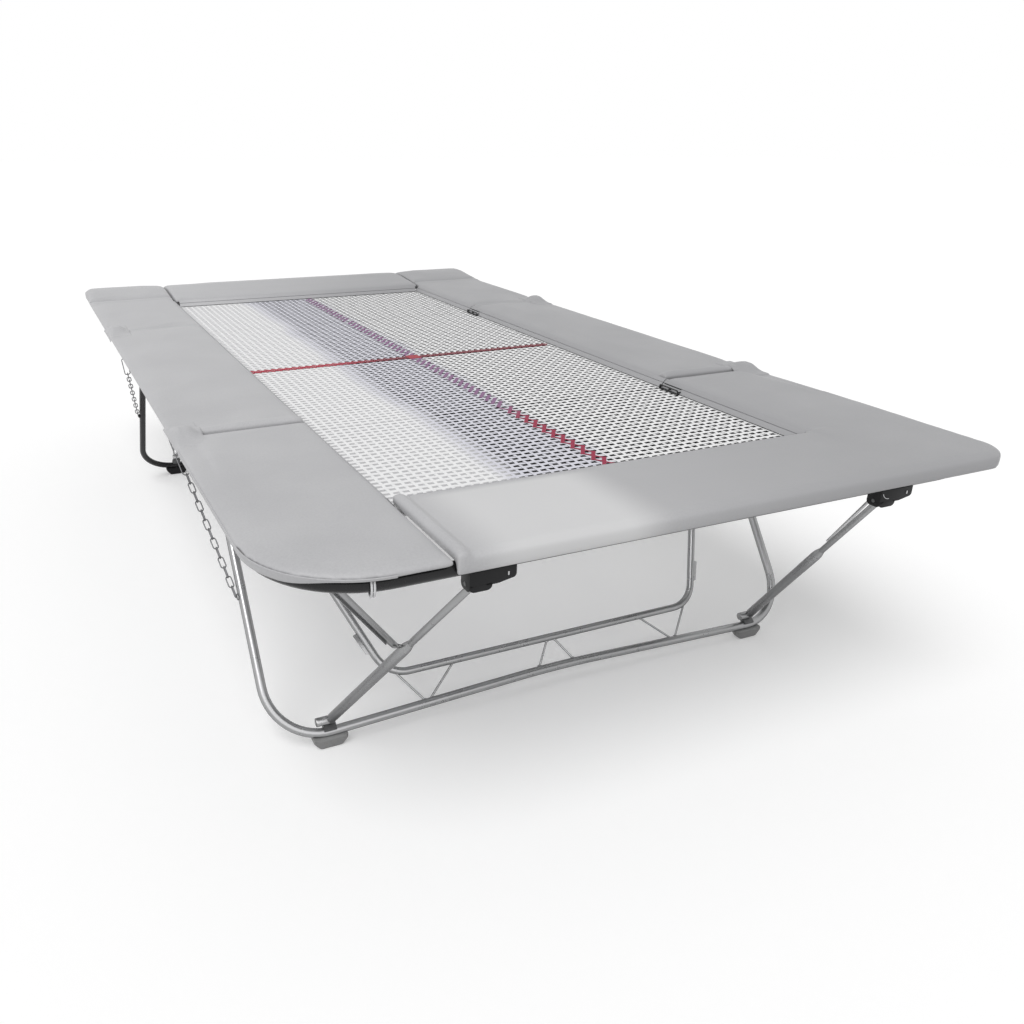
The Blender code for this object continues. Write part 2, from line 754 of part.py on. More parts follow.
def bracket_span():
    """The inside faces of a leg bracket's two cheeks, as distances from the centre plane."""
    inner = INNER_TOP_X - LEG_BRACKET_INSET
    return inner, RAIL_X - RAIL_RADIUS - LEG_BRACKET_PLATE


def along_pivot(side, low, high, radius, sides=12):
    start = (side * low, -LEG_PIVOT_Y, LEG_PIVOT_Z)
    return bar(start, (side * high, -LEG_PIVOT_Y, LEG_PIVOT_Z), radius, sides)


def leg_sleeve(side, grow=0.0):
    low, high = bracket_span()
    clearance = LEG_SIDE_CLEARANCE - grow
    return along_pivot(side, low + clearance, high - clearance, LEG_SLEEVE_RADIUS + grow)


def leg_bore(side):
    low, high = bracket_span()
    return along_pivot(side, low, high, LEG_PIN_RADIUS + LEG_BORE_CLEARANCE)


def leg_pin(side):
    low, high = bracket_span()
    reach = LEG_BRACKET_PLATE + LEG_PIN_END
    return along_pivot(side, low - reach, high + reach, LEG_PIN_RADIUS)


def leg_bracket(side):
    """A channel from the rail inward, open below, whose cheeks hold the leg's pin."""
    low, high = bracket_span()
    top = LEG_PIVOT_Z + LEG_SLEEVE_RADIUS + LEG_BRACKET_HEADROOM
    bottom = LEG_PIVOT_Z - LEG_BRACKET_WIDTH / 2
    outline = [
        (low - LEG_BRACKET_PLATE, bottom),
        (low, bottom),
        (low, top),
        (high, top),
        (high, bottom),
        (high + LEG_BRACKET_PLATE, bottom),
        (RAIL_X, RAIL_HEIGHT - RAIL_RADIUS),
        (RAIL_X, RAIL_HEIGHT),
        (high + LEG_BRACKET_PLATE, RAIL_HEIGHT - RAIL_RADIUS / 2),
        (high, top + LEG_BRACKET_PLATE),
        (low - LEG_BRACKET_PLATE, top + LEG_BRACKET_PLATE),
    ]
    shape = plate([(side * x, z) for x, z in outline], LEG_BRACKET_WIDTH, fronted(-LEG_PIVOT_Y))
    hole = along_pivot(side, low - 2 * LEG_BRACKET_PLATE, RAIL_X, LEG_PIN_RADIUS + GAP)
    return carve(shape, hole)


def lattice():
    """The thin rods between the two bent tubes: a V on each side and an upturned one in the middle."""
    top, feet = LATTICE_MIDDLE
    low, inner, outer = (INNER_BEND_X - inset for inset in LATTICE_SIDE)
    pairs = []
    for side in (-1, 1):
        foot = on_leg(side * feet, lower_tube_height(feet))
        pairs.append((foot, on_leg(side * top, CROSS_TUBE_HEIGHT)))
        apex = on_leg(side * low, lower_tube_height(low))
        pairs.append((apex, on_leg(side * inner, CROSS_TUBE_HEIGHT)))
        pairs.append((apex, on_leg(side * outer, CROSS_TUBE_HEIGHT + LATTICE_BEND_RISE)))
    return [bar(*ends, LATTICE_RADIUS, 6) for ends in pairs]


def gussets(outline):
    return [leg_plate([(side * x, height) for x, height in outline], GUSSET_PLATE) for side in (-1, 1)]


def gusset_webs():
    return gussets([(OUTER_X - inset, LEG_PIVOT_Z - drop) for inset, drop in GUSSET_WEB])


def gusset_strips():
    return gussets([(INNER_BEND_X + out, CROSS_TUBE_HEIGHT + rise) for out, rise in GUSSET_STRIP])


def leg_outer_frame():
    """The outer tube with what is welded to it: sleeves, webs, rods and chain rings."""
    fittings = lattice() + gusset_webs() + [chain_ring(-1), chain_ring(1)]
    frame = join(outer_tube(), leg_sleeve(-1), leg_sleeve(1), *fittings)
    return carve(frame, inner_tube(GAP), leg_bore(-1), leg_bore(1))


def leg_inner_frame():
    frame = join(inner_tube(), *gusset_strips())
    return carve(frame, leg_sleeve(-1, GAP), leg_sleeve(1, GAP))


def foot_pad(side):
    length, depth, height = FOOT_SIZE
    centre = on_leg(side * FOOT_X, lower_tube_height(FOOT_X))
    low = (centre.x - length / 2, centre.y - depth / 2, 0)
    high = (centre.x + length / 2, centre.y + depth / 2, height)
    return carve(block(low, high), outer_tube(GAP))


# Struts: a tube with a crossbar that stands in the seat on the leg, a thinner rod in its upper
# end, and an eye on the pin of the saddle that hangs from the end tube

def strut_foot(side):
    centre = on_leg(side * FOOT_X, lower_tube_height(FOOT_X))
    return centre + Vector((0, 0, STRUT_FOOT_RISE))


def strut_top(side):
    return Vector((side * STRUT_TOP_X, -END_Y, STRUT_PIVOT_Z))


def strut_joint(side):
    return strut_foot(side).lerp(strut_top(side), STRUT_JOINT_SHARE)


def across_strut(point, low, high, radius, sides=12):
    return bar(point + Vector((low, 0, 0)), point + Vector((high, 0, 0)), radius, sides)


def strut_rise(side):
    """The strut's direction in its plane of rotation, which is square to X."""
    rise = strut_top(side) - strut_foot(side)
    return Vector((0, rise.y, rise.z)).normalized()


def strut_seat(side):
    """A block on the leg's lower tube, whose sloping top carries the strut's crossbar."""
    foot = strut_foot(side)
    length, depth, height = SEAT_SIZE
    low = foot + Vector((-length / 2, -depth / 2, -STRUT_FOOT_RISE))
    high = low + Vector((length, depth, height))
    rise = strut_rise(side)
    level = foot - rise * (STRUT_FOOT_RADIUS + GAP)
    over = Vector((0, -rise.z, rise.y)) * 2 * depth
    edge = [level + over, level - over, level - over + rise * height, level + over + rise * height]
    open_side = plate([(point.y, point.z) for point in edge], 2 * length, upright(foot.x))
    return carve(block(low, high), outer_tube(GAP), open_side)


def brace_axes(side):
    """The strut's upward direction, the side direction in the plane of strut and brace, and their normal."""
    up = (strut_top(side) - strut_foot(side)).normalized()
    reach = Vector((side * BRACE_REACH[0], -BRACE_REACH[1], BRACE_REACH[2]))
    out = (reach - up * reach.dot(up)).normalized()
    return up, out, up.cross(out)


def brace_pivot(side):
    up, out, normal = brace_axes(side)
    return strut_joint(side) - up * STRUT_LUG_DROP + out * BRACE_OFFSET


def brace_end(side):
    return strut_joint(side) + Vector((side * BRACE_REACH[0], -BRACE_REACH[1], BRACE_REACH[2]))


def frame_at(origin, x_axis, z_axis):
    """A place with this origin whose X and Z run along these axes."""
    place = Matrix.Identity(4)
    place.col[0] = (*x_axis, 0)
    place.col[1] = (*z_axis.cross(x_axis), 0)
    place.col[2] = (*z_axis, 0)
    place.translation = origin
    return place


def strut_tube(side):
    foot, joint = strut_foot(side), strut_joint(side)
    up, out, normal = brace_axes(side)
    length = (joint - foot).length
    stops = [0, STRUT_TAPER, length - STRUT_SLEEVE_LENGTH, length - STRUT_SLEEVE_LENGTH + GAP, length]
    sleeve = STRUT_SLEEVE_RADIUS / STRUT_RADIUS
    swell = (0.95 * STRUT_FOOT_RADIUS / STRUT_RADIUS, 1, 1, sleeve, sleeve)
    main = tube([foot + up * stop for stop in stops], STRUT_RADIUS, swell=swell)
    bore = bar(joint - up * STRUT_ROD_DEPTH, joint + up * STRUT_ROD_DEPTH, STRUT_ROD_RADIUS + GAP)
    crossbar = across_strut(foot, -STRUT_FOOT_REACH, STRUT_RADIUS, STRUT_FOOT_RADIUS)
    place = frame_at(joint - up * STRUT_LUG_DROP, out, normal)
    lug = plate(lug_outline(), STRUT_LUG_PLATE, place)
    pivot = brace_pivot(side)
    stud = bar(pivot, pivot + normal * BRACE_STUD_LENGTH, BRACE_STUD_RADIUS, 8)
    return carve(join(main, crossbar, lug, stud), bore)


def lug_outline():
    half = STRUT_LUG_WIDTH / 2
    tip = [
        (BRACE_OFFSET + half * math.sin(angle), half * math.cos(angle))
        for angle in (math.pi * step / 6 for step in range(7))
    ]
    return [(0, half), *tip, (0, -half)]


def strut_rod(side):
    top, joint = strut_top(side), strut_joint(side)
    up = brace_axes(side)[0]
    shaft = bar(joint - up * (STRUT_ROD_DEPTH - GAP), top, STRUT_ROD_RADIUS)
    low, high = slot_span(side)
    eye = across_strut(top, low + STRUT_SIDE_CLEARANCE, high - STRUT_SIDE_CLEARANCE, STRUT_EYE_RADIUS)
    pin = across_strut(top, 2 * low, 2 * high, STRUT_PIN_RADIUS + GAP)
    return carve(join(shaft, eye), pin)


def slot_span(side):
    """The saddle's slot is wider on the outside, where the slanting rod passes."""
    inner, outer = SADDLE_SLOT
    return (-inner, outer) if side > 0 else (-outer, inner)


def saddle(side):
    """A moulded bearing under the end tube: a long shallow body with a deeper lobe round the strut's pin."""
    top = strut_top(side)
    half = RAIL_RADIUS + SADDLE_WALL
    front, back = -END_Y - half, -END_Y + half
    upper_front = PAD_BOTTOM - LIP_HEIGHT - SADDLE_LIP_CLEARANCE
    lower = RAIL_HEIGHT - SADDLE_DEPTH
    small, large = SADDLE_ROUND
    upper_back = RAIL_HEIGHT - SADDLE_BACK_DROP
    corners = [(front, upper_front), (front, lower), (back, lower), (back, upper_back)]
    corners += [(-END_Y, upper_back), (-END_Y, upper_front)]
    profile = rounded(corners, (0, small, small, 0, 0, 0), 3)
    long = plate(profile, SADDLE_LENGTH, upright(top.x + SADDLE_OFFSET))
    lobe_corners = [(front + GAP, lower + large), (front + GAP, SADDLE_BOTTOM)]
    lobe_corners += [(back - GAP, SADDLE_BOTTOM), (back - GAP, lower + large)]
    lobe = plate(rounded(lobe_corners, (0, large, large, 0), 3), SADDLE_LOBE, upright(top.x))
    end = SADDLE_LOBE / 2 + GAP
    bore = across_strut(top, -end, end, STRUT_PIN_RADIUS + GAP)
    low, high = slot_span(side)
    hollow = across_strut(top, low, high, STRUT_EYE_RADIUS + SADDLE_EYE_CLEARANCE)
    slot_top = STRUT_PIVOT_Z + STRUT_EYE_RADIUS + SADDLE_EYE_CLEARANCE
    slot = block(
        (top.x + low, top.y - SADDLE_SLOT_LEAD, SADDLE_BOTTOM - half),
        (top.x + high, back + half, slot_top),
    )
    return carve(join(long, lobe), end_tube(GAP), bore, hollow, slot)


def saddle_pin(side):
    reach = SADDLE_LOBE / 2 - GAP
    return across_strut(strut_top(side), -reach, reach, STRUT_PIN_RADIUS, 10)


# Side braces: a channel that hangs on the strut's lug and reaches up to a lug at the frame corner

def side_brace(side):
    pivot, end = brace_pivot(side), brace_end(side)
    normal = brace_axes(side)[2]
    length = (end - pivot).length
    half = BRACE_WIDTH / 2
    shift = STRUT_LUG_PLATE / 2 + BRACE_SIDE_CLEARANCE
    place = frame_at(pivot + normal * shift, (end - pivot).normalized(), normal)
    edge = half - GAP
    web = rounded([(-half, -edge), (length, -edge), (length, edge), (-half, edge)], (edge / 2,) * 4, 3)
    hole = circle((0, 0), BRACE_STUD_RADIUS + 2 * GAP, 8)
    pieces = [plate(web, BRACE_PLATE, place @ Matrix.Translation((0, 0, BRACE_PLATE / 2)), [hole])]
    lift = Matrix.Translation((0, 0, BRACE_DEPTH / 2 + BRACE_PLATE / 4))
    for side_edge in (-1, 1):
        low, high = sorted((side_edge * half, side_edge * (half - BRACE_PLATE)))
        flange = [(BRACE_NOTCH, low), (length - BRACE_NOTCH, low)]
        flange += [(length - BRACE_NOTCH, high), (BRACE_NOTCH, high)]
        pieces.append(plate(flange, BRACE_DEPTH - BRACE_PLATE / 2, place @ lift))
    return join(*pieces)


def brace_lug(side):
    """A flat arm that slopes from the corner of the end tube down to the brace's upper end."""
    end = brace_end(side)
    centre = Vector((side * (RAIL_X - CORNER_RADIUS), -END_Y + CORNER_RADIUS, RAIL_HEIGHT))
    spoke = Vector((end.x - centre.x, end.y - centre.y, 0)).normalized()
    start = centre + spoke * CORNER_RADIUS
    target = end + Vector((0, 0, BRACE_LUG_RISE))
    way = (target - start).normalized()
    place = frame_at(start, way, way.cross(Vector((0, 0, 1))).cross(way).normalized())
    reach = (target - start).length
    half = BRACE_LUG_WIDTH / 2
    outline = [(0, -half), (reach, -half), (reach + half, 0), (reach, half), (0, half)]
    return plate(outline, BRACE_LUG_PLATE, place)


# Safety chains between the side rails and the legs

def chain_anchor_point(side):
    return Vector((side * RAIL_X, -CHAIN_ANCHOR_Y, CHAIN_ANCHOR_Z))


def chain_end_point(side):
    leg = on_leg(side * OUTER_X, CHAIN_LEG_HEIGHT)
    out = OUTER_TUBE_RADIUS - CHAIN_RING_SINK + 3 * CHAIN_WIRE + CHAIN_SIDE_CLEARANCE
    return leg + Vector((side * out, 0, 0))


def chain_anchor(side):
    """An eye plate below the side rail."""
    point = chain_anchor_point(side)
    radius = CHAIN_ANCHOR_RADIUS
    arc = [
        (point.y - radius * math.cos(angle), point.z - radius * math.sin(angle))
        for angle in (math.pi * step / 8 for step in range(9))
    ]
    outline = [(point.y - radius, RAIL_HEIGHT), *arc, (point.y + radius, RAIL_HEIGHT)]
    hole = circle((point.y, point.z), CHAIN_WIRE + CHAIN_EYE_CLEARANCE, 10)
    return plate(outline, CHAIN_ANCHOR_PLATE, upright(point.x), [hole])


def chain_ring(side):
    """A ring on the outer face of the leg, which the chain's last link lies against."""
    centre = on_leg(side * OUTER_X, CHAIN_LEG_HEIGHT)
    x = centre.x + side * (OUTER_TUBE_RADIUS - CHAIN_RING_SINK + CHAIN_WIRE)
    loop = circle((centre.y, centre.z), CHAIN_RING_RADIUS, 8)
    return tube([(x, y, z) for y, z in loop], CHAIN_WIRE, 4, closed=True)


def link(start, way, wide, length, width, end_bar=0.0):
    """A closed loop from start along way. end_bar is half the length of the bars square to way."""
    half = width / 2
    slope = half * math.cos(math.radians(30))
    tip = [(length, -end_bar), (length, end_bar)] if end_bar else [(length, 0)]
    outline = [(slope, -half), (length - slope, -half), *tip, (length - slope, half), (slope, half)]
    outline += [(0, across) for along, across in reversed(tip)]
    points = [start + way * along + wide * across for along, across in outline]
    return tube(points, CHAIN_WIRE, 4, closed=True)


def chain(side):
    """A long steel loop through the anchor's eye, then links that turn a quarter each."""
    start, end = chain_anchor_point(side), chain_end_point(side)
    way = (end - start).normalized()
    flat = way.cross(Vector((1, 0, 0))).normalized()
    cross = flat.cross(way)
    handle, handle_width = CHAIN_HANDLE
    pieces = []
    slack = 2 * CHAIN_WIRE - CHAIN_LINK_OVERLAP
    pitch = ((end - start).length - handle) / CHAIN_LINKS
    for index in range(CHAIN_LINKS):
        wide = cross if index % 2 else flat
        place = start + way * (handle + pitch * index - slack)
        pieces.append(link(place, way, wide, pitch + slack, CHAIN_LINK_WIDTH))
    return join(link(start, way, cross, handle, handle_width, handle_width / 4), *pieces)


# The bodies: an empty on each joint's axis

def turned(half, point):
    return HALVES[half] @ Vector(point)


def side_frame(side):
    """A side rail with what is welded to it at both ends: forks, leg brackets and chain anchors."""
    pieces = []
    for half in HALVES:
        near_side = side if half == "near" else -side
        for piece in (*fork(near_side), leg_bracket(near_side), chain_anchor(near_side)):
            piece.data.transform(HALVES[half])
            pieces.append(piece)
    return join(side_rail(side), *pieces)


def end_frame():
    """An end tube with its hinge tongues and the lugs of the side braces."""
    return join(end_tube(), *(make(side) for make in (tongue, brace_lug) for side in (-1, 1)))


SIDES = {"left": -1, "right": 1}
root = body("middle_section", (0, 0, 0))
node("middle_bed", middle_net(), root, WEBBING, smooth=False)
for name, side in SIDES.items():
    node(f"{name}_side_rail", side_frame(side), root, STEEL)
    node(f"{name}_middle_springs", middle_springs(side), root, STEEL)
    node(f"{name}_middle_pad", middle_pad(side), root, VINYL)

for half in HALVES:
    section = body(f"{half}_section", turned(half, (0, -FOLD_Y, FOLD_Z)), root)
    node(f"{half}_end_tube", end_frame(), section, DARK_STEEL, half)
    node(f"{half}_bed", end_net(), section, WEBBING, half, smooth=False)
    node(f"{half}_springs", end_springs(), section, STEEL, half)

    leg = body(f"{half}_leg", turned(half, (0, -LEG_PIVOT_Y, LEG_PIVOT_Z)), root)
    look = STEEL if half == "near" else DARK_STEEL
    node(f"{half}_leg_outer_frame", leg_outer_frame(), leg, look, half)
    node(f"{half}_leg_inner_frame", leg_inner_frame(), leg, look, half)

    for side in (-1, 1):
        name = f"{half}_{world_name(half, side)}"
        node(f"{name}_leg_pin", leg_pin(side), root, STEEL, half)
        node(f"{name}_saddle", saddle(side), section, PLASTIC, half)
        node(f"{name}_saddle_pin", saddle_pin(side), section, STEEL, half)
        node(f"{name}_foot", foot_pad(side), leg, RUBBER, half)
        node(f"{name}_strut_seat", strut_seat(side), leg, PLASTIC, half)
        strut = body(f"{name}_strut", turned(half, strut_top(side)), section)
        node(f"{name}_strut_tube", strut_tube(side), strut, STEEL, half)
        node(f"{name}_strut_rod", strut_rod(side), strut, STEEL, half)
        brace = body(f"{name}_brace", turned(half, brace_pivot(side)), strut)
        node(f"{name}_side_brace", side_brace(side), brace, STEEL, half)
        hanger = body(f"{name}_chain_pivot", turned(half, chain_anchor_point(side)), root)
        node(f"{name}_chain", chain(side), hanger, STEEL, half)

near, far = (bpy.data.objects[f"{half}_section"] for half in HALVES)
node("near_left_pad", join(end_side_pad(-1, -1, PAD_Y, True), pad_strap()), near, VINYL)
node("near_front_pad", near_front_pad(), near, VINYL)
node("far_end_pad", far_end_pad(), far, VINYL)
for name, side in SIDES.items():
    node(f"far_{name}_corner_pad", far_corner_pad(side), far, VINYL)
    node(f"far_{name}_side_pad", end_side_pad(side, 1, CORNER_SEAM, False), far, VINYL)
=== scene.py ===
import math

import bpy
import numpy as np
from mathutils import Matrix, Vector, noise


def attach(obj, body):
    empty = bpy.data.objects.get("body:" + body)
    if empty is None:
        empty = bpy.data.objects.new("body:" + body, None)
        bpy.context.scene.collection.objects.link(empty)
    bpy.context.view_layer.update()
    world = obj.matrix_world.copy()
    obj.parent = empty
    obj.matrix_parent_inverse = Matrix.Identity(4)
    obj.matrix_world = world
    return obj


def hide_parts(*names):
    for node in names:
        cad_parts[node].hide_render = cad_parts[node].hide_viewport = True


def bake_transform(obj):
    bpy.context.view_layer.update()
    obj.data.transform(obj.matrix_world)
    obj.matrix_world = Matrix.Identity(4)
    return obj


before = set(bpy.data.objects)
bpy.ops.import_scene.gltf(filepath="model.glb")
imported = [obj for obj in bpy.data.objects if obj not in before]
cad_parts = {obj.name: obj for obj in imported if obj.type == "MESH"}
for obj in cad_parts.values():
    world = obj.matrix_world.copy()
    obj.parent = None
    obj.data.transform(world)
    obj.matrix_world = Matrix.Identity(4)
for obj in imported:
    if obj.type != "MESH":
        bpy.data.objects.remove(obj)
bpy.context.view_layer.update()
turns = {"near": Matrix.Identity(4), "far": Matrix.Rotation(math.pi, 4, "Z")}  # far is near, turned round
print("frame loaded")

# Camera at the photograph's place: turned right of the long direction and tipped down

camera = dict(
    place=(-2.0519, -4.8342, 2.3968), turn=0.4317, tip=0.3965, roll=0.0103,
    focal=923.27, centre=(435.16, 510.21), size=1024, sensor=36.0, reach=200,
)


def makeCamera(c):
    forward = Vector((math.sin(c["turn"]) * math.cos(c["tip"]), math.cos(c["turn"]) * math.cos(c["tip"]),
                      -math.sin(c["tip"])))
    flat = Vector((math.cos(c["turn"]), -math.sin(c["turn"]), 0))
    right = flat * math.cos(c["roll"]) + flat.cross(forward) * math.sin(c["roll"])
    up = right.cross(forward)
    bpy.ops.object.camera_add(location=c["place"])
    eye = bpy.context.object
    eye.name = "photoCamera"
    eye.rotation_mode = "QUATERNION"
    eye.rotation_quaternion = Matrix((right, up, -forward)).transposed().to_quaternion()
    eye.data.sensor_width = c["sensor"]
    eye.data.lens = c["focal"] / c["size"] * c["sensor"]
    eye.data.shift_x = (c["size"] / 2 - c["centre"][0]) / c["size"]
    eye.data.shift_y = (c["centre"][1] - c["size"] / 2) / c["size"]
    eye.data.clip_end = c["reach"]
    bpy.context.scene.camera = eye


makeCamera(camera)
bpy.context.scene.view_settings.view_transform = "Standard"

# Small tools for making and finishing a piece


def deselectAll():
    if bpy.context.object and bpy.context.object.mode != "OBJECT":
        bpy.ops.object.mode_set(mode="OBJECT")
    bpy.ops.object.select_all(action="DESELECT")


def pick(*pieces):
    deselectAll()
    for piece in pieces:
        piece.select_set(True)
    bpy.context.view_layer.objects.active = pieces[0]


def added(operator, **values):
    deselectAll()
    operator(**values)
    return bpy.context.object


def settle(piece):
    piece.data.transform(piece.matrix_basis)
    piece.matrix_basis = Matrix.Identity(4)
    return piece


def shape(piece, kind, **values):
    pick(piece)
    modifier = piece.modifiers.new(kind.title(), kind)
    for key, value in values.items():
        setattr(modifier, key, value)
    bpy.ops.object.modifier_apply(modifier=modifier.name)
    return piece


def rowOf(piece, count, step):
    return shape(piece, "ARRAY", count=count, use_relative_offset=False, use_constant_offset=True,
                 constant_offset_displace=step)


def joined(pieces):
    pieces = list(pieces)
    pick(*pieces)
    if len(pieces) > 1:
        bpy.ops.object.join()
    return pieces[0]


def weld(piece, distance=0.00001):
    pick(piece)
    bpy.ops.object.mode_set(mode="EDIT")
    bpy.ops.mesh.select_all(action="SELECT")
    bpy.ops.mesh.remove_doubles(threshold=distance)
    bpy.ops.mesh.normals_make_consistent(inside=False)
    bpy.ops.object.mode_set(mode="OBJECT")
    return piece


def cutAway(piece, place, normal, **values):
    pick(piece)
    bpy.ops.object.mode_set(mode="EDIT")
    bpy.ops.mesh.select_all(action="SELECT")
    bpy.ops.mesh.bisect(plane_co=place, plane_no=normal, **values)
    bpy.ops.object.mode_set(mode="OBJECT")
    return piece


def arc(centre, radius, start, end, steps):  # angles in degrees
    angles = [math.radians(start + (end - start) * step / steps) for step in range(steps + 1)]
    return [(centre[0] + radius * math.cos(a), centre[1] + radius * math.sin(a)) for a in angles]


def circle(centre, radius, steps):
    return arc(centre, radius, 0, 360, steps)[:-1]


def roundPath(points, radii, steps):  # a bend at each point that has a radius
    points = [Vector(point) for point in points]
    path = []
    for index, (corner, radius) in enumerate(zip(points, radii)):
        if not radius:
            path.append(corner)
            continue
        before = (points[index - 1] - corner).normalized()
        after = (points[(index + 1) % len(points)] - corner).normalized()
        half = before.angle(after) / 2
        centre = corner + (before + after).normalized() * radius / math.sin(half)
        spoke = corner + before * radius / math.tan(half) - centre
        last = corner + after * radius / math.tan(half) - centre
        axis = spoke.cross(last).normalized()
        for step in range(steps + 1):
            path.append(centre + Matrix.Rotation((math.pi - 2 * half) * step / steps, 3, axis) @ spoke)
    return path


def roundOutline(corners, radii, steps):
    return [(point.x, point.y) for point in roundPath([(*corner, 0) for corner in corners], radii, steps)]


def curveOf(loops, closed, kind="3D"):
    piece = added(bpy.ops.curve.primitive_nurbs_path_add)
    piece.data.dimensions = kind
    piece.data.splines.clear()
    for loop in loops:
        spline = piece.data.splines.new("POLY")
        spline.points.add(len(loop) - 1)
        spline.use_cyclic_u = closed
        for knot, point in zip(spline.points, loop):
            knot.co = (*(tuple(point) + (0,))[:3], 1)
    return piece


def tube(points, radius, sides, closed=False, swell=()):
    piece = curveOf([points], closed)
    piece.data.bevel_depth = radius
    piece.data.bevel_resolution = sides // 2 - 2
    piece.data.use_fill_caps = not closed
    for knot, share in zip(piece.data.splines[0].points, swell):
        knot.radius = share
    bpy.ops.object.convert(target="MESH")
    return weld(piece)


def bar(start, end, radius, sides=20, edge=0.0015):
    start, end = Vector(start), Vector(end)
    piece = settle(added(
        bpy.ops.mesh.primitive_cylinder_add, vertices=sides, radius=radius, depth=(end - start).length,
        location=(start + end) / 2, rotation=(end - start).to_track_quat("Z", "Y").to_euler(),
    ))
    if edge:
        shape(piece, "BEVEL", width=edge, segments=2, limit_method="ANGLE", angle_limit=math.radians(50))
    return piece


def block(low, high, edge):
    low, high = Vector(low), Vector(high)
    piece = added(bpy.ops.mesh.primitive_cube_add, size=1, location=(low + high) / 2)
    piece.scale = high - low
    return shape(settle(piece), "BEVEL", width=edge, segments=3)


def gridOf(columns, rows):  # from -1 to 1 both ways
    return added(bpy.ops.mesh.primitive_grid_add, x_subdivisions=columns, y_subdivisions=rows, size=2)


def plate(outline, thickness, place, holes=(), edge=0.0008):
    piece = curveOf([outline, *holes], True, "2D")
    piece.data.fill_mode = "BOTH"
    piece.data.extrude = thickness / 2 - edge
    piece.data.bevel_depth = edge
    piece.data.bevel_resolution = 1
    piece.data.offset = -edge
    bpy.ops.object.convert(target="MESH")
    piece.matrix_world = place
    return weld(settle(piece))


def upright(x):  # an outline of y and z, across x
    return Matrix(((0, 0, 1, x), (1, 0, 0, 0), (0, 1, 0, 0), (0, 0, 0, 1)))


def fronted(y):  # an outline of x and z, across y
    return Matrix(((1, 0, 0, 0), (0, 0, -1, y), (0, 1, 0, 0), (0, 0, 0, 1)))


def placeAt(origin, xAxis, zAxis):
    place = Matrix.Identity(4)
    place.col[0] = (*xAxis, 0)
    place.col[1] = (*zAxis.cross(xAxis), 0)
    place.col[2] = (*zAxis, 0)
    place.translation = origin
    return place


def toHalf(piece, half):
    piece.data.transform(turns[half])
    return piece


def cornerName(half, side):
    right = (side > 0) == (half == "near")
    return half + ("_right" if right else "_left")


def finishPiece(piece, name, body, slot, material, *replaced, angle=38):
    pick(piece)
    piece.name = name
    piece.data.name = name
    piece.data.materials.clear()
    piece.data.materials.append(material)
    bpy.ops.object.shade_smooth_by_angle(angle=math.radians(angle))
    if body:
        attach(piece, body)
    if replaced:
        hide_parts(*replaced)
    return piece


def finishHalf(parts, half, name, body, slot, material, *replaced, angle=38):
    return finishPiece(toHalf(joined(parts), half), name, body, slot, material, *replaced, angle=angle)


# Small tools for shader nodes


def feed(tree, socket, value):
    if isinstance(value, bpy.types.NodeSocket):
        tree.links.new(value, socket)
    elif socket.type == "RGBA":
        socket.default_value = (*value, 1)
    else:
        socket.default_value = value


def addNode(tree, kind, inputs, **settings):
    node = tree.nodes.new(kind)
    for key, value in settings.items():
        setattr(node, key, value)
    for key, value in inputs.items():
        feed(tree, node.inputs[key], value)
    return node


def calculate(tree, operation, *values):
    return addNode(tree, "ShaderNodeMath", dict(enumerate(values)), operation=operation).outputs[0]


def mapRange(tree, value, fromLow, fromHigh, toLow, toHigh, kind="LINEAR"):
    inputs = {"Value": value, "From Min": fromLow, "From Max": fromHigh, "To Min": toLow, "To Max": toHigh}
    return addNode(tree, "ShaderNodeMapRange", inputs, interpolation_type=kind).outputs[0]


def mixColour(tree, mask, first, second):
    return addNode(tree, "ShaderNodeMix", {0: mask, 6: first, 7: second}, data_type="RGBA").outputs[2]


def coordinates(tree):
    outputs = addNode(tree, "ShaderNodeTexCoord", {}).outputs
    return outputs["Object"], outputs["Normal"]


def split(tree, vector):
    return addNode(tree, "ShaderNodeSeparateXYZ", {"Vector": vector}).outputs


def addNoise(tree, place, scale, detail=2.0, rough=0.5):
    inputs = {"Vector": place, "Scale": scale, "Detail": detail, "Roughness": rough}
    return addNode(tree, "ShaderNodeTexNoise", inputs).outputs["Fac"]


def addBump(tree, shader, height, strength, distance, under=None):
    inputs = {"Height": height, "Strength": strength, "Distance": distance}
    if under:
        inputs["Normal"] = under
    bump = addNode(tree, "ShaderNodeBump", inputs).outputs[0]
    tree.links.new(bump, shader.inputs["Normal"])
    return bump


def newMaterial(name, sockets):
    material = bpy.data.materials.new(name)
    material.use_nodes = True
    tree = material.node_tree
    shader = tree.nodes["Principled BSDF"]
    for key, value in sockets.items():
        feed(tree, shader.inputs[key], value)
    return material, tree, shader


# Shader groups that several finishes share


def newGroup(name, inputs, outputs):
    group = bpy.data.node_groups.new(name, "ShaderNodeTree")
    for label, value in inputs.items():
        kind = "NodeSocketColor" if isinstance(value, tuple) else "NodeSocketFloat"
        group.interface.new_socket(name=label, in_out="INPUT", socket_type=kind).default_value = value
    for label, kind in outputs.items():
        group.interface.new_socket(name=label, in_out="OUTPUT", socket_type=kind)
    return group, group.nodes.new("NodeGroupInput").outputs, group.nodes.new("NodeGroupOutput").inputs


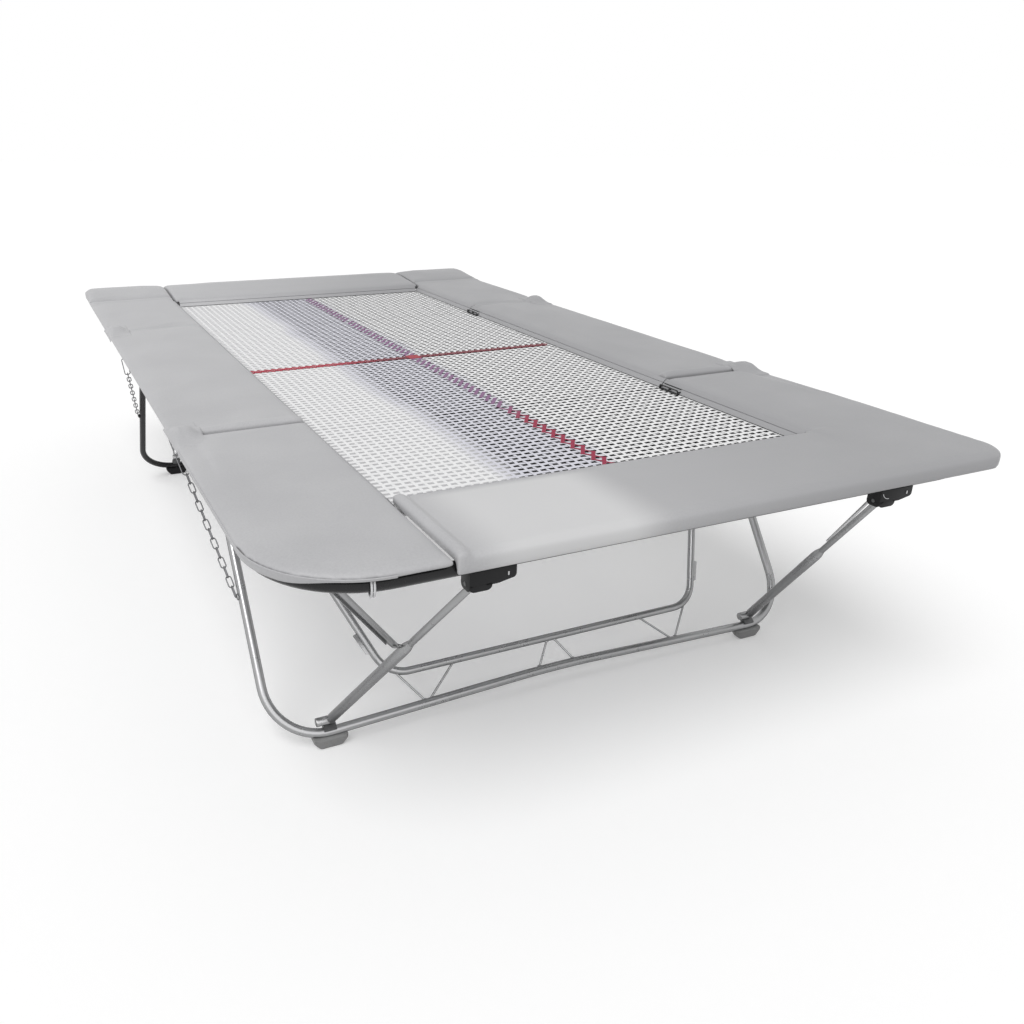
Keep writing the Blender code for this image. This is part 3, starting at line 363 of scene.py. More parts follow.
def makeSpeckleGroup():  # fine grain over wide clouds
    grain = dict(detail=6.0, rough=0.65, cloudScale=3.1, cloudDetail=3.0, low=0.72, high=1.28)
    group, entry, leave = newGroup(
        "speckle",
        {"Scale": 60.0, "Dark": (0.3, 0.3, 0.3, 1), "Light": (0.6, 0.6, 0.6, 1), "Rough low": 0.3,
         "Rough high": 0.5},
        {"Color": "NodeSocketColor", "Roughness": "NodeSocketFloat", "Height": "NodeSocketFloat"},
    )
    place, _ = coordinates(group)
    fine = addNoise(group, place, entry["Scale"], grain["detail"], grain["rough"])
    clouds = addNoise(group, place, grain["cloudScale"], grain["cloudDetail"])
    spread = mapRange(group, calculate(group, "ADD", fine, clouds), grain["low"], grain["high"], 0.0, 1.0)
    feed(group, leave["Color"], mixColour(group, spread, entry["Dark"], entry["Light"]))
    rough = mapRange(group, spread, 0.0, 1.0, entry["Rough low"], entry["Rough high"])
    feed(group, leave["Roughness"], rough)
    feed(group, leave["Height"], fine)
    return group


def makeBandGroup():  # a mask that is full between start and end
    group, entry, leave = newGroup("band", {"Value": 0.0, "Start": 0.0, "End": 1.0, "Soft": 0.1},
                                   {"Mask": "NodeSocketFloat"})
    value, start, end, soft = (entry[label] for label in ("Value", "Start", "End", "Soft"))
    rise = mapRange(group, value, calculate(group, "SUBTRACT", start, soft), start, 0.0, 1.0, "SMOOTHSTEP")
    fall = mapRange(group, value, end, calculate(group, "ADD", end, soft), 1.0, 0.0, "SMOOTHSTEP")
    feed(group, leave["Mask"], calculate(group, "MULTIPLY", rise, fall))
    return group


speckleGroup = makeSpeckleGroup()
bandGroup = makeBandGroup()


def speckle(tree, scale, dark, light, rough):
    inputs = {"Scale": scale, "Dark": dark, "Light": light, "Rough low": rough[0], "Rough high": rough[1]}
    return addNode(tree, "ShaderNodeGroup", inputs, node_tree=speckleGroup).outputs


def band(tree, value, start, end, soft):
    inputs = {"Value": value, "Start": start, "End": end, "Soft": soft}
    return addNode(tree, "ShaderNodeGroup", inputs, node_tree=bandGroup).outputs["Mask"]


# Finishes

beyond = 9.0  # where a band has no edge on that side


def makeFinish(name, dark, light, rough, metallic=0.0, scale=60.0, bump=0.05, specular=0.5):
    material, tree, shader = newMaterial(name, {"Metallic": metallic, "Specular IOR Level": specular})
    grain = speckle(tree, scale, dark, light, rough)
    feed(tree, shader.inputs["Base Color"], grain["Color"])
    feed(tree, shader.inputs["Roughness"], grain["Roughness"])
    addBump(tree, shader, grain["Height"], bump, 0.001)
    return material


zincDark = makeFinish("springSteel", (0.13, 0.13, 0.135), (0.26, 0.26, 0.27), (0.3, 0.5), 0.7, 200.0)
seatSteel = makeFinish("castSeat", (0.075, 0.076, 0.078), (0.15, 0.152, 0.155), (0.35, 0.5), 0.5)
# painted shade: near black steel for the far legs and the end tubes, which sit in shade
paintedShadeBlack = makeFinish("paintedShadeBlack", (0.006, 0.006, 0.007), (0.013, 0.013, 0.014), (0.18, 0.30),
                         scale=40.0, bump=0.01, specular=0.35)
# black moulding for the saddles, and painted shade on the far feet
blackMouldingAndPaintedShade = makeFinish("blackMouldingAndPaintedShade", (0.005, 0.005, 0.006), (0.012, 0.012, 0.013), (0.42, 0.62),
                           scale=500.0, bump=0.12, specular=0.25)
blackGloss = makeFinish("blackGloss", (0.006, 0.006, 0.007), (0.013, 0.013, 0.014), (0.12, 0.22), scale=40.0,
                        bump=0.0)
greyRubber = makeFinish("greyRubber", (0.20, 0.20, 0.20), (0.27, 0.27, 0.27), (0.45, 0.6))
redPatch = makeFinish("redPatch", (0.24, 0.02, 0.035), (0.38, 0.04, 0.06), (0.6, 0.7))
cordWhite = makeFinish("whiteCord", (0.50, 0.50, 0.51), (0.66, 0.66, 0.67), (0.6, 0.8), scale=300.0, bump=0.2)


def makeZinc():  # painted highlight where it faces the eye, and painted shade round the rim
    z = dict(dark=(0.330, 0.333, 0.337), light=(0.385, 0.388, 0.392), rough=(0.25, 0.31), scale=9.0,
             metallic=0.7, paintedHighlight=(0.66, 0.66, 0.67), paintedHighlightEnd=0.01, paintedHighlightSoft=0.12,
             rim=(0.13, 0.13, 0.135), rimStart=0.78, rimSoft=0.42)
    material, tree, shader = newMaterial("galvanisedSteel", {"Metallic": z["metallic"]})
    grain = speckle(tree, z["scale"], z["dark"], z["light"], z["rough"])
    facing = addNode(tree, "ShaderNodeLayerWeight", {"Blend": 0.5}).outputs["Facing"]
    # painted highlight down the middle of each tube, and painted shade round its edges
    paintedHighlight = band(tree, facing, -beyond, z["paintedHighlightEnd"], z["paintedHighlightSoft"])
    rim = band(tree, facing, z["rimStart"], beyond, z["rimSoft"])
    lit = mixColour(tree, paintedHighlight, grain["Color"], z["paintedHighlight"])
    feed(tree, shader.inputs["Base Color"], mixColour(tree, rim, lit, z["rim"]))
    feed(tree, shader.inputs["Roughness"], grain["Roughness"])
    return material


def makeVinyl():  # dark below, a little darker at the right as painted shade, and a painted pale reflection on the near end's left
    v = dict(dark=(0.415, 0.415, 0.427), light=(0.492, 0.492, 0.502), rough=(0.42, 0.56), scale=130.0,
             specular=0.4, under=(0.035, 0.035, 0.037), underEnd=-0.75, underSoft=0.25,
             dull=0.80, paintedShadeStart=1.0, paintedShadeSoft=2.0,
             pale=(0.60, 0.60, 0.605), paleX=(-0.72, -0.34), paintedLightSoftX=0.22, paleY=-2.16, paintedLightSoftY=0.06,
             pores=900.0, poreDepth=(0.18, 0.0006), creases=26.0, creaseDetail=4.0, creaseDepth=(0.10, 0.004))
    material, tree, shader = newMaterial("greyVinyl", {"Specular IOR Level": v["specular"]})
    grain = speckle(tree, v["scale"], v["dark"], v["light"], v["rough"])
    place, normal = coordinates(tree)
    spot = split(tree, place)
    below = band(tree, split(tree, normal)["Z"], -beyond, v["underEnd"], v["underSoft"])
    # painted shade: the pads grow a little darker towards the right
    dull = band(tree, spot["X"], v["paintedShadeStart"], beyond, v["paintedShadeSoft"])
    # painted reflection: a pale patch on the near end's left, made by these two bands
    across = band(tree, spot["X"], *v["paleX"], v["paintedLightSoftX"])
    front = band(tree, spot["Y"], -beyond, v["paleY"], v["paintedLightSoftY"])
    top = mixColour(tree, dull, grain["Color"], tuple(c * v["dull"] for c in v["dark"]))
    top = mixColour(tree, calculate(tree, "MULTIPLY", across, front), top, v["pale"])
    feed(tree, shader.inputs["Base Color"], mixColour(tree, below, top, v["under"]))
    feed(tree, shader.inputs["Roughness"], grain["Roughness"])
    cells = addNode(tree, "ShaderNodeTexVoronoi", {"Vector": place, "Scale": v["pores"]}).outputs["Distance"]
    pores = addBump(tree, shader, cells, *v["poreDepth"])
    addBump(tree, shader, addNoise(tree, place, v["creases"], v["creaseDetail"]), *v["creaseDepth"], pores)
    return material


def makeWebbing():  # white, with a painted cool shade strip along the middle, hole walls painted dark as shade, and painted light making those walls pale at the left
    w = dict(top=(0.83, 0.83, 0.835), cool=(0.66, 0.66, 0.72), wall=(0.008, 0.008, 0.009),
             paintedLightWall=(0.66, 0.66, 0.67), paintedLightEnd=-0.34, paintedCoolShadeStart=-0.32, paintedCoolShadeEnd=0.10, soft=0.10,
             wallSlope=0.55, wallSoft=0.2, driftScale=1.6, drift=0.16, threads=700.0, twist=1.5,
             depth=(0.15, 0.0004), rough=0.72)
    material, tree, shader = newMaterial("whiteWebbing", {"Roughness": w["rough"]})
    place, normal = coordinates(tree)
    # painted shade: the hole walls are near black; painted light makes the same walls pale at the left
    steep = band(tree, split(tree, normal)["Z"], -w["wallSlope"], w["wallSlope"], w["wallSoft"])
    drift = addNoise(tree, place, w["driftScale"])
    moved = calculate(tree, "MULTIPLY_ADD", drift, w["drift"], split(tree, place)["X"])
    # painted shade: a cool grey strip along the middle of the bed, with wandering edges
    cool = band(tree, moved, w["paintedCoolShadeStart"], w["paintedCoolShadeEnd"], w["soft"])
    pale = band(tree, moved, -beyond, w["paintedLightEnd"], w["soft"])
    tops = mixColour(tree, cool, w["top"], w["cool"])
    paintedHoleWalls = mixColour(tree, pale, w["wall"], w["paintedLightWall"])
    feed(tree, shader.inputs["Base Color"], mixColour(tree, steep, tops, paintedHoleWalls))
    inputs = {"Vector": place, "Scale": w["threads"], "Distortion": w["twist"]}
    threads = addNode(tree, "ShaderNodeTexWave", inputs, bands_direction="DIAGONAL").outputs["Fac"]
    addBump(tree, shader, threads, *w["depth"])
    return material


def makeMarking(name, axis, first, second, start, soft):  # from the first colour to the second along one axis
    t = dict(rough=0.7, threads=260.0, dark=0.4, share=0.5, depth=(0.3, 0.0006))
    material, tree, shader = newMaterial(name, {"Roughness": t["rough"]})
    place, _ = coordinates(tree)
    away = band(tree, split(tree, place)[axis], start, beyond, soft)
    threads = addNoise(tree, place, t["threads"])
    colour = mixColour(tree, calculate(tree, "MULTIPLY", threads, t["share"]),
                       mixColour(tree, away, first, second), tuple(c * t["dark"] for c in first))
    feed(tree, shader.inputs["Base Color"], colour)
    addBump(tree, shader, threads, *t["depth"])
    return material


zinc = makeZinc()
vinyl = makeVinyl()
webbing = makeWebbing()
lengthCord = makeMarking("redCord", "Y", (0.32, 0.015, 0.055), (0.26, 0.155, 0.29), -1.0, 0.35)
crossCord = makeMarking("darkRedCord", "X", (0.46, 0.02, 0.05), (0.14, 0.006, 0.018), -0.1, 0.4)
# the far legs are the near legs turned round, painted near black as shade
legFinishAndPaintedShade = {"near": ("galvanised_steel", zinc), "far": ("black_steel", paintedShadeBlack)}
print("materials made")

# Side rails and end tubes

railSizes = dict(x=1.485, z=1.150, radius=0.025, endY=2.57, corner=0.34, foldY=1.11, gap=0.0015, sides=24,
                 padBottom=1.1753)
hingeSizes = dict(z=1.2223, eye=0.0105, base=0.055, tongue=0.012, cheek=0.006, side=0.001, pin=0.006,
                  pinEnd=0.005)
legPivot = dict(y=1.05, z=1.05, sleeve=0.024, pin=0.010, low=1.171, high=1.454, plate=0.006, width=0.05,
                headroom=0.039, play=0.005, pinEnd=0.004)
chainSizes = dict(anchorY=0.80, anchorZ=1.102, radius=0.011, plate=0.005, edge=0.0005, wire=0.0028,
                  play=0.0006, ringZ=0.570, ringRadius=0.012, ringSink=0.0012, links=13, handle=0.200,
                  handleWidth=0.030, linkWidth=0.022)
lugSizes = dict(rise=0.022, half=0.012, thick=0.006, bend=67.5)
fold = railSizes["foldY"]


def hingeEar(x, thickness, direction):
    h, r = hingeSizes, railSizes
    eye = arc((-fold, h["z"]), h["eye"], 90 + direction * 120, 90 - direction * 60, 12)
    start = -fold + direction * h["eye"]
    return plate([(start + direction * h["base"], r["z"]), (start, r["z"]), *eye], thickness, upright(x))


def legBracket(side):
    p, r = legPivot, railSizes
    low, high, wall = p["low"], p["high"], p["plate"]
    top, bottom = p["z"] + p["sleeve"] + p["headroom"], p["z"] - p["width"] / 2
    outline = [(low - wall, bottom), (low, bottom), (low, top), (high, top), (high, bottom),
               (high + wall, bottom), (r["x"], r["z"] - r["radius"]), (r["x"], r["z"]),
               (high + wall, r["z"] - r["radius"] / 2), (high, top + wall), (low - wall, top + wall)]
    return plate([(side * x, z) for x, z in outline], p["width"], fronted(-p["y"]))


def chainAnchor(side):
    c, r = chainSizes, railSizes
    y, z = -c["anchorY"], c["anchorZ"]
    outline = [(y - c["radius"], r["z"]), *arc((y, z), c["radius"], 180, 360, 16), (y + c["radius"], r["z"])]
    hole = circle((y, z), c["wire"] + c["play"], 16)
    return plate(outline, c["plate"], upright(side * r["x"]), [hole], c["edge"])


def makeSideRail(side):
    r, h = railSizes, hingeSizes
    reach = fold - r["gap"]
    parts = [bar((side * r["x"], -reach, r["z"]), (side * r["x"], reach, r["z"]), r["radius"], r["sides"])]
    offset = h["tongue"] / 2 + h["side"] + h["cheek"] / 2
    end = offset + h["cheek"] / 2 + h["pinEnd"]
    for half in turns:
        s = side if half == "near" else -side
        x = s * r["x"]
        fittings = [hingeEar(x - offset, h["cheek"], 1), hingeEar(x + offset, h["cheek"], 1),
                    bar((x - end, -fold, h["z"]), (x + end, -fold, h["z"]), h["pin"]),
                    legBracket(s), chainAnchor(s)]
        parts += [toHalf(part, half) for part in fittings]
    name = "left" if side < 0 else "right"
    finishPiece(joined(parts), name + "Rail", "middle_section", "galvanised_steel", zinc, name + "_side_rail")


def braceLug(side):  # from the tube's corner to the upper end of the side brace
    r, lug = railSizes, lugSizes
    end = struts[side]["braceEnd"]
    centre = Vector((side * (r["x"] - r["corner"]), -r["endY"] + r["corner"], r["z"]))
    spoke = Vector((end.x - centre.x, end.y - centre.y, 0)).normalized()
    start = centre + spoke * r["corner"]
    target = end + Vector((0, 0, lug["rise"]))
    way = (target - start).normalized()
    place = placeAt(start, way, way.cross(Vector((0, 0, 1))).cross(way).normalized())
    reach, half = (target - start).length, lug["half"]
    tip = arc((reach, 0), half, -lug["bend"], lug["bend"], 6)
    return plate([(0, -half), (reach, -half), *tip, (reach, half), (0, half)], lug["thick"], place)


def makeEndTube(half):
    r = railSizes
    x, start = r["x"], fold + r["gap"]
    corners = [(-x, -start, r["z"]), (-x, -r["endY"], r["z"]), (x, -r["endY"], r["z"]), (x, -start, r["z"])]
    parts = [tube(roundPath(corners, (0, r["corner"], r["corner"], 0), 16), r["radius"], r["sides"])]
    for side in (-1, 1):
        parts += [hingeEar(side * x, hingeSizes["tongue"], -1), braceLug(side)]
    # the end tubes are painted near black as shade
    finishHalf(parts, half, half + "EndTube", half + "_section", "black_steel", paintedShadeBlack,
               half + "_end_tube")


# Leg frames, in a plane that leans out from the pivot line to the feet

legSizes = dict(outerX=1.35, outerRadius=0.020, bend=0.24, low=0.058, rise=0.035, spread=0.72, arch=7.0,
                innerTop=1.22, innerX=0.81, innerRadius=0.017, innerBend=0.15, cross=0.200, sides=22,
                rod=0.005, rods=((0.10, 0.012, 0), (0.66, 0.49, 0), (0.66, 0.79, 0.022)),  # foot, top, lift
                beads=(0.0095, 0.009), beadShape=(1.3, 1.0, 0.7), plate=0.005, webX=1.252, webZ=0.80,
                gusset=((0.849, 0.280), (0.885, 0.288), (0.924, 0.360), (0.892, 0.370)))
legLean = legSizes["spread"] / (legPivot["z"] - legSizes["low"])


def onLeg(x, height):
    return Vector((x, -legPivot["y"] - legLean * (legPivot["z"] - height), height))


def legPlate(outline, side):
    stretch = math.hypot(1, legLean)
    across, up = Vector((1, 0, 0)), Vector((0, legLean, 1)) / stretch
    place = placeAt(Vector((0, -legPivot["y"], legPivot["z"])), across, across.cross(up))
    return plate([(side * x, (z - legPivot["z"]) * stretch) for x, z in outline], legSizes["plate"], place)


def lowHeight(x):
    return legSizes["low"] + legSizes["rise"] * (1 - abs(x) / legSizes["outerX"])


def weldBead(point, radius):
    piece = added(bpy.ops.mesh.primitive_uv_sphere_add, segments=10, ring_count=6, radius=radius,
                  location=point)
    piece.scale = legSizes["beadShape"]
    return settle(piece)


def makeOuterLeg(half):
    g, p, c = legSizes, legPivot, chainSizes
    corners = [onLeg(-g["outerX"], p["z"]), onLeg(-g["outerX"], g["low"]), onLeg(0, g["low"] + g["rise"]),
               onLeg(g["outerX"], g["low"]), onLeg(g["outerX"], p["z"])]
    path = roundPath(corners, (0, g["bend"], g["arch"], g["bend"], 0), 14)
    parts = [tube(path, g["outerRadius"], g["sides"])]
    for side in (-1, 1):
        for footX, topX, lift in g["rods"]:
            foot, top = onLeg(side * footX, lowHeight(footX)), onLeg(side * topX, g["cross"] + lift)
            reach = (top - foot).normalized()
            parts += [bar(foot, top, g["rod"], 12, 0),
                      weldBead(foot + reach * g["outerRadius"], g["beads"][0]),
                      weldBead(top - reach * g["innerRadius"], g["beads"][1])]
        low, high = side * (p["low"] + p["play"]), side * (p["high"] - p["play"])
        parts.append(bar((low, -p["y"], p["z"]), (high, -p["y"], p["z"]), p["sleeve"], g["sides"]))
        parts.append(legPlate([(g["outerX"], g["webZ"]), (g["outerX"], p["z"]), (g["webX"], p["z"])], side))
        ring = onLeg(side * g["outerX"], c["ringZ"])
        x = ring.x + side * (g["outerRadius"] - c["ringSink"] + c["wire"])
        loop = circle((ring.y, ring.z), c["ringRadius"], 20)
        parts.append(tube([(x, *spot) for spot in loop], c["wire"], 10, True))
    finishHalf(parts, half, half + "OuterLeg", half + "_leg", *legFinishAndPaintedShade[half], half + "_leg_outer_frame")


def makeInnerLeg(half):
    g, top = legSizes, legPivot["z"]
    corners = [onLeg(-g["innerTop"], top), onLeg(-g["innerX"], g["cross"]), onLeg(g["innerX"], g["cross"]),
               onLeg(g["innerTop"], top)]
    path = roundPath(corners, (0, g["innerBend"], g["innerBend"], 0), 14)
    parts = [tube(path, g["innerRadius"], g["sides"]), legPlate(g["gusset"], -1), legPlate(g["gusset"], 1)]
    finishHalf(parts, half, half + "InnerLeg", half + "_leg", *legFinishAndPaintedShade[half], half + "_leg_inner_frame")


footSizes = dict(x=1.11, length=0.150, base=0.096, depth=0.052, height=0.052, flank=0.032, edge=0.009,
                 bends=(0.006, 0.018, 0.022, 0.022, 0.018, 0.006))


def makeFoot(half, side):
    f = footSizes
    centre = onLeg(side * f["x"], lowHeight(f["x"]))
    reach, base = f["length"] / 2, f["base"] / 2
    corners = [(-reach, f["height"]), (-reach, f["flank"]), (-base, 0), (base, 0), (reach, f["flank"]),
               (reach, f["height"])]
    outline = [(centre.x + x, z) for x, z in roundOutline(corners, f["bends"], 6)]
    shoe = plate(outline, f["depth"], fronted(centre.y), edge=f["edge"])
    name = cornerName(half, side)
    # the far feet are painted black as shade; the near feet are grey rubber
    finishHalf([shoe], half, name + "_footShoe", half + "_leg", "black_rubber",
               greyRubber if half == "near" else blackMouldingAndPaintedShade, name + "_foot")


def makeLegPin(half, side):
    p = legPivot
    reach = p["plate"] + p["pinEnd"]
    low, high = side * (p["low"] - reach), side * (p["high"] + reach)
    pin = bar((low, -p["y"], p["z"]), (high, -p["y"], p["z"]), p["pin"])
    name = cornerName(half, side)
    finishHalf([pin], half, name + "_legPin", "middle_section", "galvanised_steel", zincDark,
               name + "_leg_pin")


# Struts, seats, saddles and side braces

strutSizes = dict(topX=0.865, drop=0.060, footRise=0.056, share=0.60, radius=0.0205, rod=0.013, sides=22,
                  nose=((0.004, 0.68), (0.020, 0.86), (0.035, 1.0)),  # how far up, and share of the radius
                  sleeve=0.0212, sleeveLength=0.17, sleeveStep=0.003, cone=0.030, neck=0.004, neckShare=0.96,
                  crossRadius=0.0185, crossReach=0.058, crossLift=0.0032, crossEdge=0.002,
                  lug=0.011, lugPlate=0.005, lugDrop=0.012, offset=0.042,
                  stud=(0.0, 0.010, 0.004), nut=(0.0065, 0.0098, 0.0075),  # start, end and radius
                  fine=0.0006, shaftSink=0.05,
                  eye=0.015, eyeIn=0.017, eyeOut=0.028, play=0.001, reach=(0.312, 0.088, 0.372))


def strutPoints(side):
    s = strutSizes
    foot = onLeg(side * footSizes["x"], lowHeight(footSizes["x"])) + Vector((0, 0, s["footRise"]))
    top = Vector((side * s["topX"], -railSizes["endY"], railSizes["z"] - s["drop"]))
    joint = foot.lerp(top, s["share"])
    up = (top - foot).normalized()
    reach = Vector((side * s["reach"][0], -s["reach"][1], s["reach"][2]))
    out = (reach - up * reach.dot(up)).normalized()
    low, high = (-s["eyeIn"], s["eyeOut"]) if side > 0 else (-s["eyeOut"], s["eyeIn"])
    return dict(foot=foot, top=top, joint=joint, up=up, out=out, normal=up.cross(out), braceEnd=joint + reach,
                pivot=joint - up * s["lugDrop"] + out * s["offset"], eyeLow=low, eyeHigh=high)


struts = {side: strutPoints(side) for side in (-1, 1)}


def makeStrut(half, side):
    s, q = strutSizes, struts[side]
    foot, joint, top, up, normal = q["foot"], q["joint"], q["top"], q["up"], q["normal"]
    length = (joint - foot).length
    sleeve, thick = length - s["sleeveLength"], s["sleeve"] / s["radius"]
    profile = [*s["nose"], (sleeve, 1), (sleeve + s["sleeveStep"], thick), (length - s["cone"], thick),
               (length - s["neck"], s["neckShare"]), (length + s["cone"], s["rod"] / s["radius"])]
    parts = [tube([foot + up * stop for stop, _ in profile], s["radius"], s["sides"],
                  swell=[share for _, share in profile])]
    level = foot + Vector((0, 0, s["crossLift"]))
    parts.append(bar(level - Vector((s["crossReach"], 0, 0)), level + Vector((s["radius"], 0, 0)),
                     s["crossRadius"], edge=s["crossEdge"]))
    outline = [(0, s["lug"]), *arc((s["offset"], 0), s["lug"], 90, -90, 12), (0, -s["lug"])]
    parts.append(plate(outline, s["lugPlate"], placeAt(joint - up * s["lugDrop"], q["out"], normal)))
    for (start, end, radius), sides in ((s["stud"], 12), (s["nut"], 6)):
        parts.append(bar(q["pivot"] + normal * start, q["pivot"] + normal * end, radius, sides, s["fine"]))
    name = cornerName(half, side)
    finishHalf(parts, half, name + "_strutTube", name + "_strut", "galvanised_steel", zinc,
               name + "_strut_tube")
    low, high = q["eyeLow"] + s["play"], q["eyeHigh"] - s["play"]
    parts = [bar(joint - up * s["shaftSink"], top, s["rod"], s["sides"]),
             bar(top + Vector((low, 0, 0)), top + Vector((high, 0, 0)), s["eye"])]
    finishHalf(parts, half, name + "_strutRod", name + "_strut", "galvanised_steel", zinc,
               name + "_strut_rod")


seatSizes = dict(low=(-0.0275, -0.020, -0.042), high=(0.0275, 0.020, 0.010), edge=0.003, groove=0.0153)


def makeSeat(half, side):
    s, foot = seatSizes, struts[side]["foot"]
    rise = struts[side]["top"] - foot
    rise = Vector((0, rise.y, rise.z)).normalized()
    seat = block(foot + Vector(s["low"]), foot + Vector(s["high"]), s["edge"])
    cutAway(seat, foot - rise * s["groove"], rise, use_fill=True, clear_outer=True)
    name = cornerName(half, side)
    finishHalf([seat], half, name + "_seat", half + "_leg", "black_plastic", seatSteel,
               name + "_strut_seat")


saddleSizes = dict(reach=0.125, wall=0.006, lobe=0.080, depth=0.064, lip=0.036, taper=0.012, front=0.005,
                   pocket=0.019, slope=0.020, slopeTaper=(0.0096, 0.022), edge=0.0025, lobeEdge=0.0015,
                   bends=(0.003, 0.006, 0.030, 0.014, 0.003), lobeBend=0.018, pin=0.006, head=0.0075,
                   headSpan=(-0.002, 0.0015), pinEdge=0.001, mark=0.0006, stud=0.0026,
                   studPlace=(-0.030, -0.030), studHeight=0.012, wire=0.0012, wireSpan=(195, 270),
                   wirePlace=(0.002, -0.006), wireReach=(0.034, 0.030))


def makeSaddle(half, side):
    s, r, q = saddleSizes, railSizes, struts[side]
    top, eyeLow, eyeHigh = q["top"], q["eyeLow"], q["eyeHigh"]
    wall = s["wall"]
    front, back = -r["endY"] - r["radius"] - wall, -r["endY"] + r["radius"] + wall
    upper, lower = r["padBottom"] - s["lip"], r["z"] - s["depth"]
    bottom, pocket = top.z - strutSizes["eye"] - wall, top.z + s["pocket"]
    low, lobeHigh, high = top.x - s["lobe"] / 2, top.x + s["lobe"] / 2, top.x + s["reach"]

    def lobe(start, end):
        corners = [(start, lower + wall), (start, bottom), (end, bottom), (end, lower + wall)]
        return roundOutline(corners, (0, s["lobeBend"], s["lobeBend"], 0), 8)

    corners = [(low, upper), (low, lower), (lobeHigh + s["slope"], lower), (high, lower + s["taper"]),
               (high, upper)]
    parts = [plate(roundOutline(corners, s["bends"], 6), wall, fronted(front + wall / 2), edge=s["edge"])]
    inner, outer = s["slopeTaper"]
    corners = [(low, upper), (low, lower), (top.x + eyeLow, lower), (top.x + eyeLow, pocket),
               (top.x + eyeHigh, pocket), (top.x + eyeHigh, lower), (high - s["slope"], lower + inner),
               (high, lower + outer), (high, upper)]
    inside = front + wall / 2
    parts.append(plate(corners, back - inside, fronted((inside + back) / 2), edge=s["edge"]))
    parts.append(plate(lobe(low, lobeHigh), s["front"], fronted(front + s["front"] / 2), edge=s["lobeEdge"]))
    for start, end in ((-s["lobe"] / 2, eyeLow), (eyeHigh, s["lobe"] / 2)):
        across = upright(top.x + (start + end) / 2)
        parts.append(plate(lobe(front, back), end - start, across, edge=s["lobeEdge"]))
    name = cornerName(half, side)
    finishHalf(parts, half, name + "_saddleBlock", half + "_section", "black_plastic",
               blackMouldingAndPaintedShade, name + "_saddle")

    face, marks = front - s["mark"], []
    if name.endswith("right"):
        (x, z), (reachX, reachZ) = s["wirePlace"], s["wireReach"]
        spots = arc((0, 0), 1, *s["wireSpan"], 16)
        path = [(top.x + x + reachX * u, face, upper + z + reachZ * v) for u, v in spots]
        marks.append(tube(path, s["wire"], 8))
    stud = Vector((high + s["studPlace"][0], face, upper + s["studPlace"][1]))
    marks.append(bar(stud, stud + Vector((0, 0, s["studHeight"])), s["stud"], 10, s["mark"]))
    finishHalf(marks, half, name + "_saddleWire", half + "_section", "white_webbing", cordWhite)

    reach, (headIn, headOut) = s["lobe"] / 2, s["headSpan"]
    parts = [bar(top - Vector((reach, 0, 0)), top + Vector((reach, 0, 0)), s["pin"], 16, s["pinEdge"])]
    for sign in (-1, 1):
        start, end = Vector((sign * (reach + headIn), 0, 0)), Vector((sign * (reach + headOut), 0, 0))
        parts.append(bar(top + start, top + end, s["head"], 16, s["pinEdge"]))
    finishHalf(parts, half, name + "_saddlePin", half + "_section", "galvanised_steel",
               seatSteel, name + "_saddle_pin")


braceSizes = dict(tip=0.014, wide=0.0175, thick=0.003, deep=0.012, cut=0.034, taper=0.0238, hole=0.0046,
                  tipBend=0.0126, bend=0.01)


def makeBrace(half, side):  # a channel: a web with two flanges
    b, q = braceSizes, struts[side]
    pivot, way, normal = q["pivot"], q["braceEnd"] - q["pivot"], q["normal"]
    tip, wide, thick, deep, cut, length = b["tip"], b["wide"], b["thick"], b["deep"], b["cut"], way.length
    place = placeAt(pivot + normal * thick, way.normalized(), normal)
    edge = [(-tip, tip), (b["taper"], wide), (length - b["taper"], wide), (length, tip)]
    corners = [(x, -y) for x, y in edge] + [(x, y) for x, y in reversed(edge)]
    web = roundOutline(corners, [b["tipBend"], b["bend"], b["bend"], b["tipBend"]] * 2, 6)
    hole = circle((0, 0), b["hole"], 12)
    parts = [plate(web, thick, place @ Matrix.Translation((0, 0, thick / 2)), [hole])]
    for sign in (-1, 1):
        low, high = sorted((sign * wide, sign * (wide - thick)))
        flange = [(cut, low), (length - cut, low), (length - cut, high), (cut, high)]
        raised = place @ Matrix.Translation((0, 0, deep / 2 + thick / 4))
        parts.append(plate(flange, deep - thick / 2, raised))
    name = cornerName(half, side)
    finishHalf(parts, half, name + "_brace", name + "_side_brace", "galvanised_steel", zinc,
               name + "_side_brace")


# Chains: a long wire loop and oval links that turn a quarter each


def oval(start, way, wide, length, width, steps):
    half = width / 2
    spots = arc((length - half, 0), half, -90, 90, steps) + arc((half, 0), half, 90, 270, steps)
    path = [start + way * along + wide * across for along, across in spots]
    return tube(path, chainSizes["wire"], 10, True)


def makeChain(half, side):
    c, g = chainSizes, legSizes
    start = Vector((side * railSizes["x"], -c["anchorY"], c["anchorZ"]))
    end = onLeg(side * g["outerX"], c["ringZ"])
    end.x += side * (g["outerRadius"] - c["ringSink"] + 3 * c["wire"] + c["play"])
    way = (end - start).normalized()
    flat = way.cross(Vector((1, 0, 0))).normalized()
    cross = flat.cross(way)
    pitch = ((end - start).length - c["handle"]) / c["links"]
    name = cornerName(half, side)
    body = name + "_chain"
    handle = oval(start, way, cross, c["handle"], c["handleWidth"], 10)
    finishHalf([handle], half, name + "_chainHandle", body, "galvanised_steel", zincDark, body)
    slack = 2 * c["wire"]
    for index in range(c["links"]):
        place = start + way * (c["handle"] + pitch * index - slack)
        link = oval(place, way, cross if index % 2 else flat, pitch + slack, c["linkWidth"], 8)
        finishHalf([link], half, f"{name}_link{index + 1:02d}", body, "galvanised_steel", zincDark)


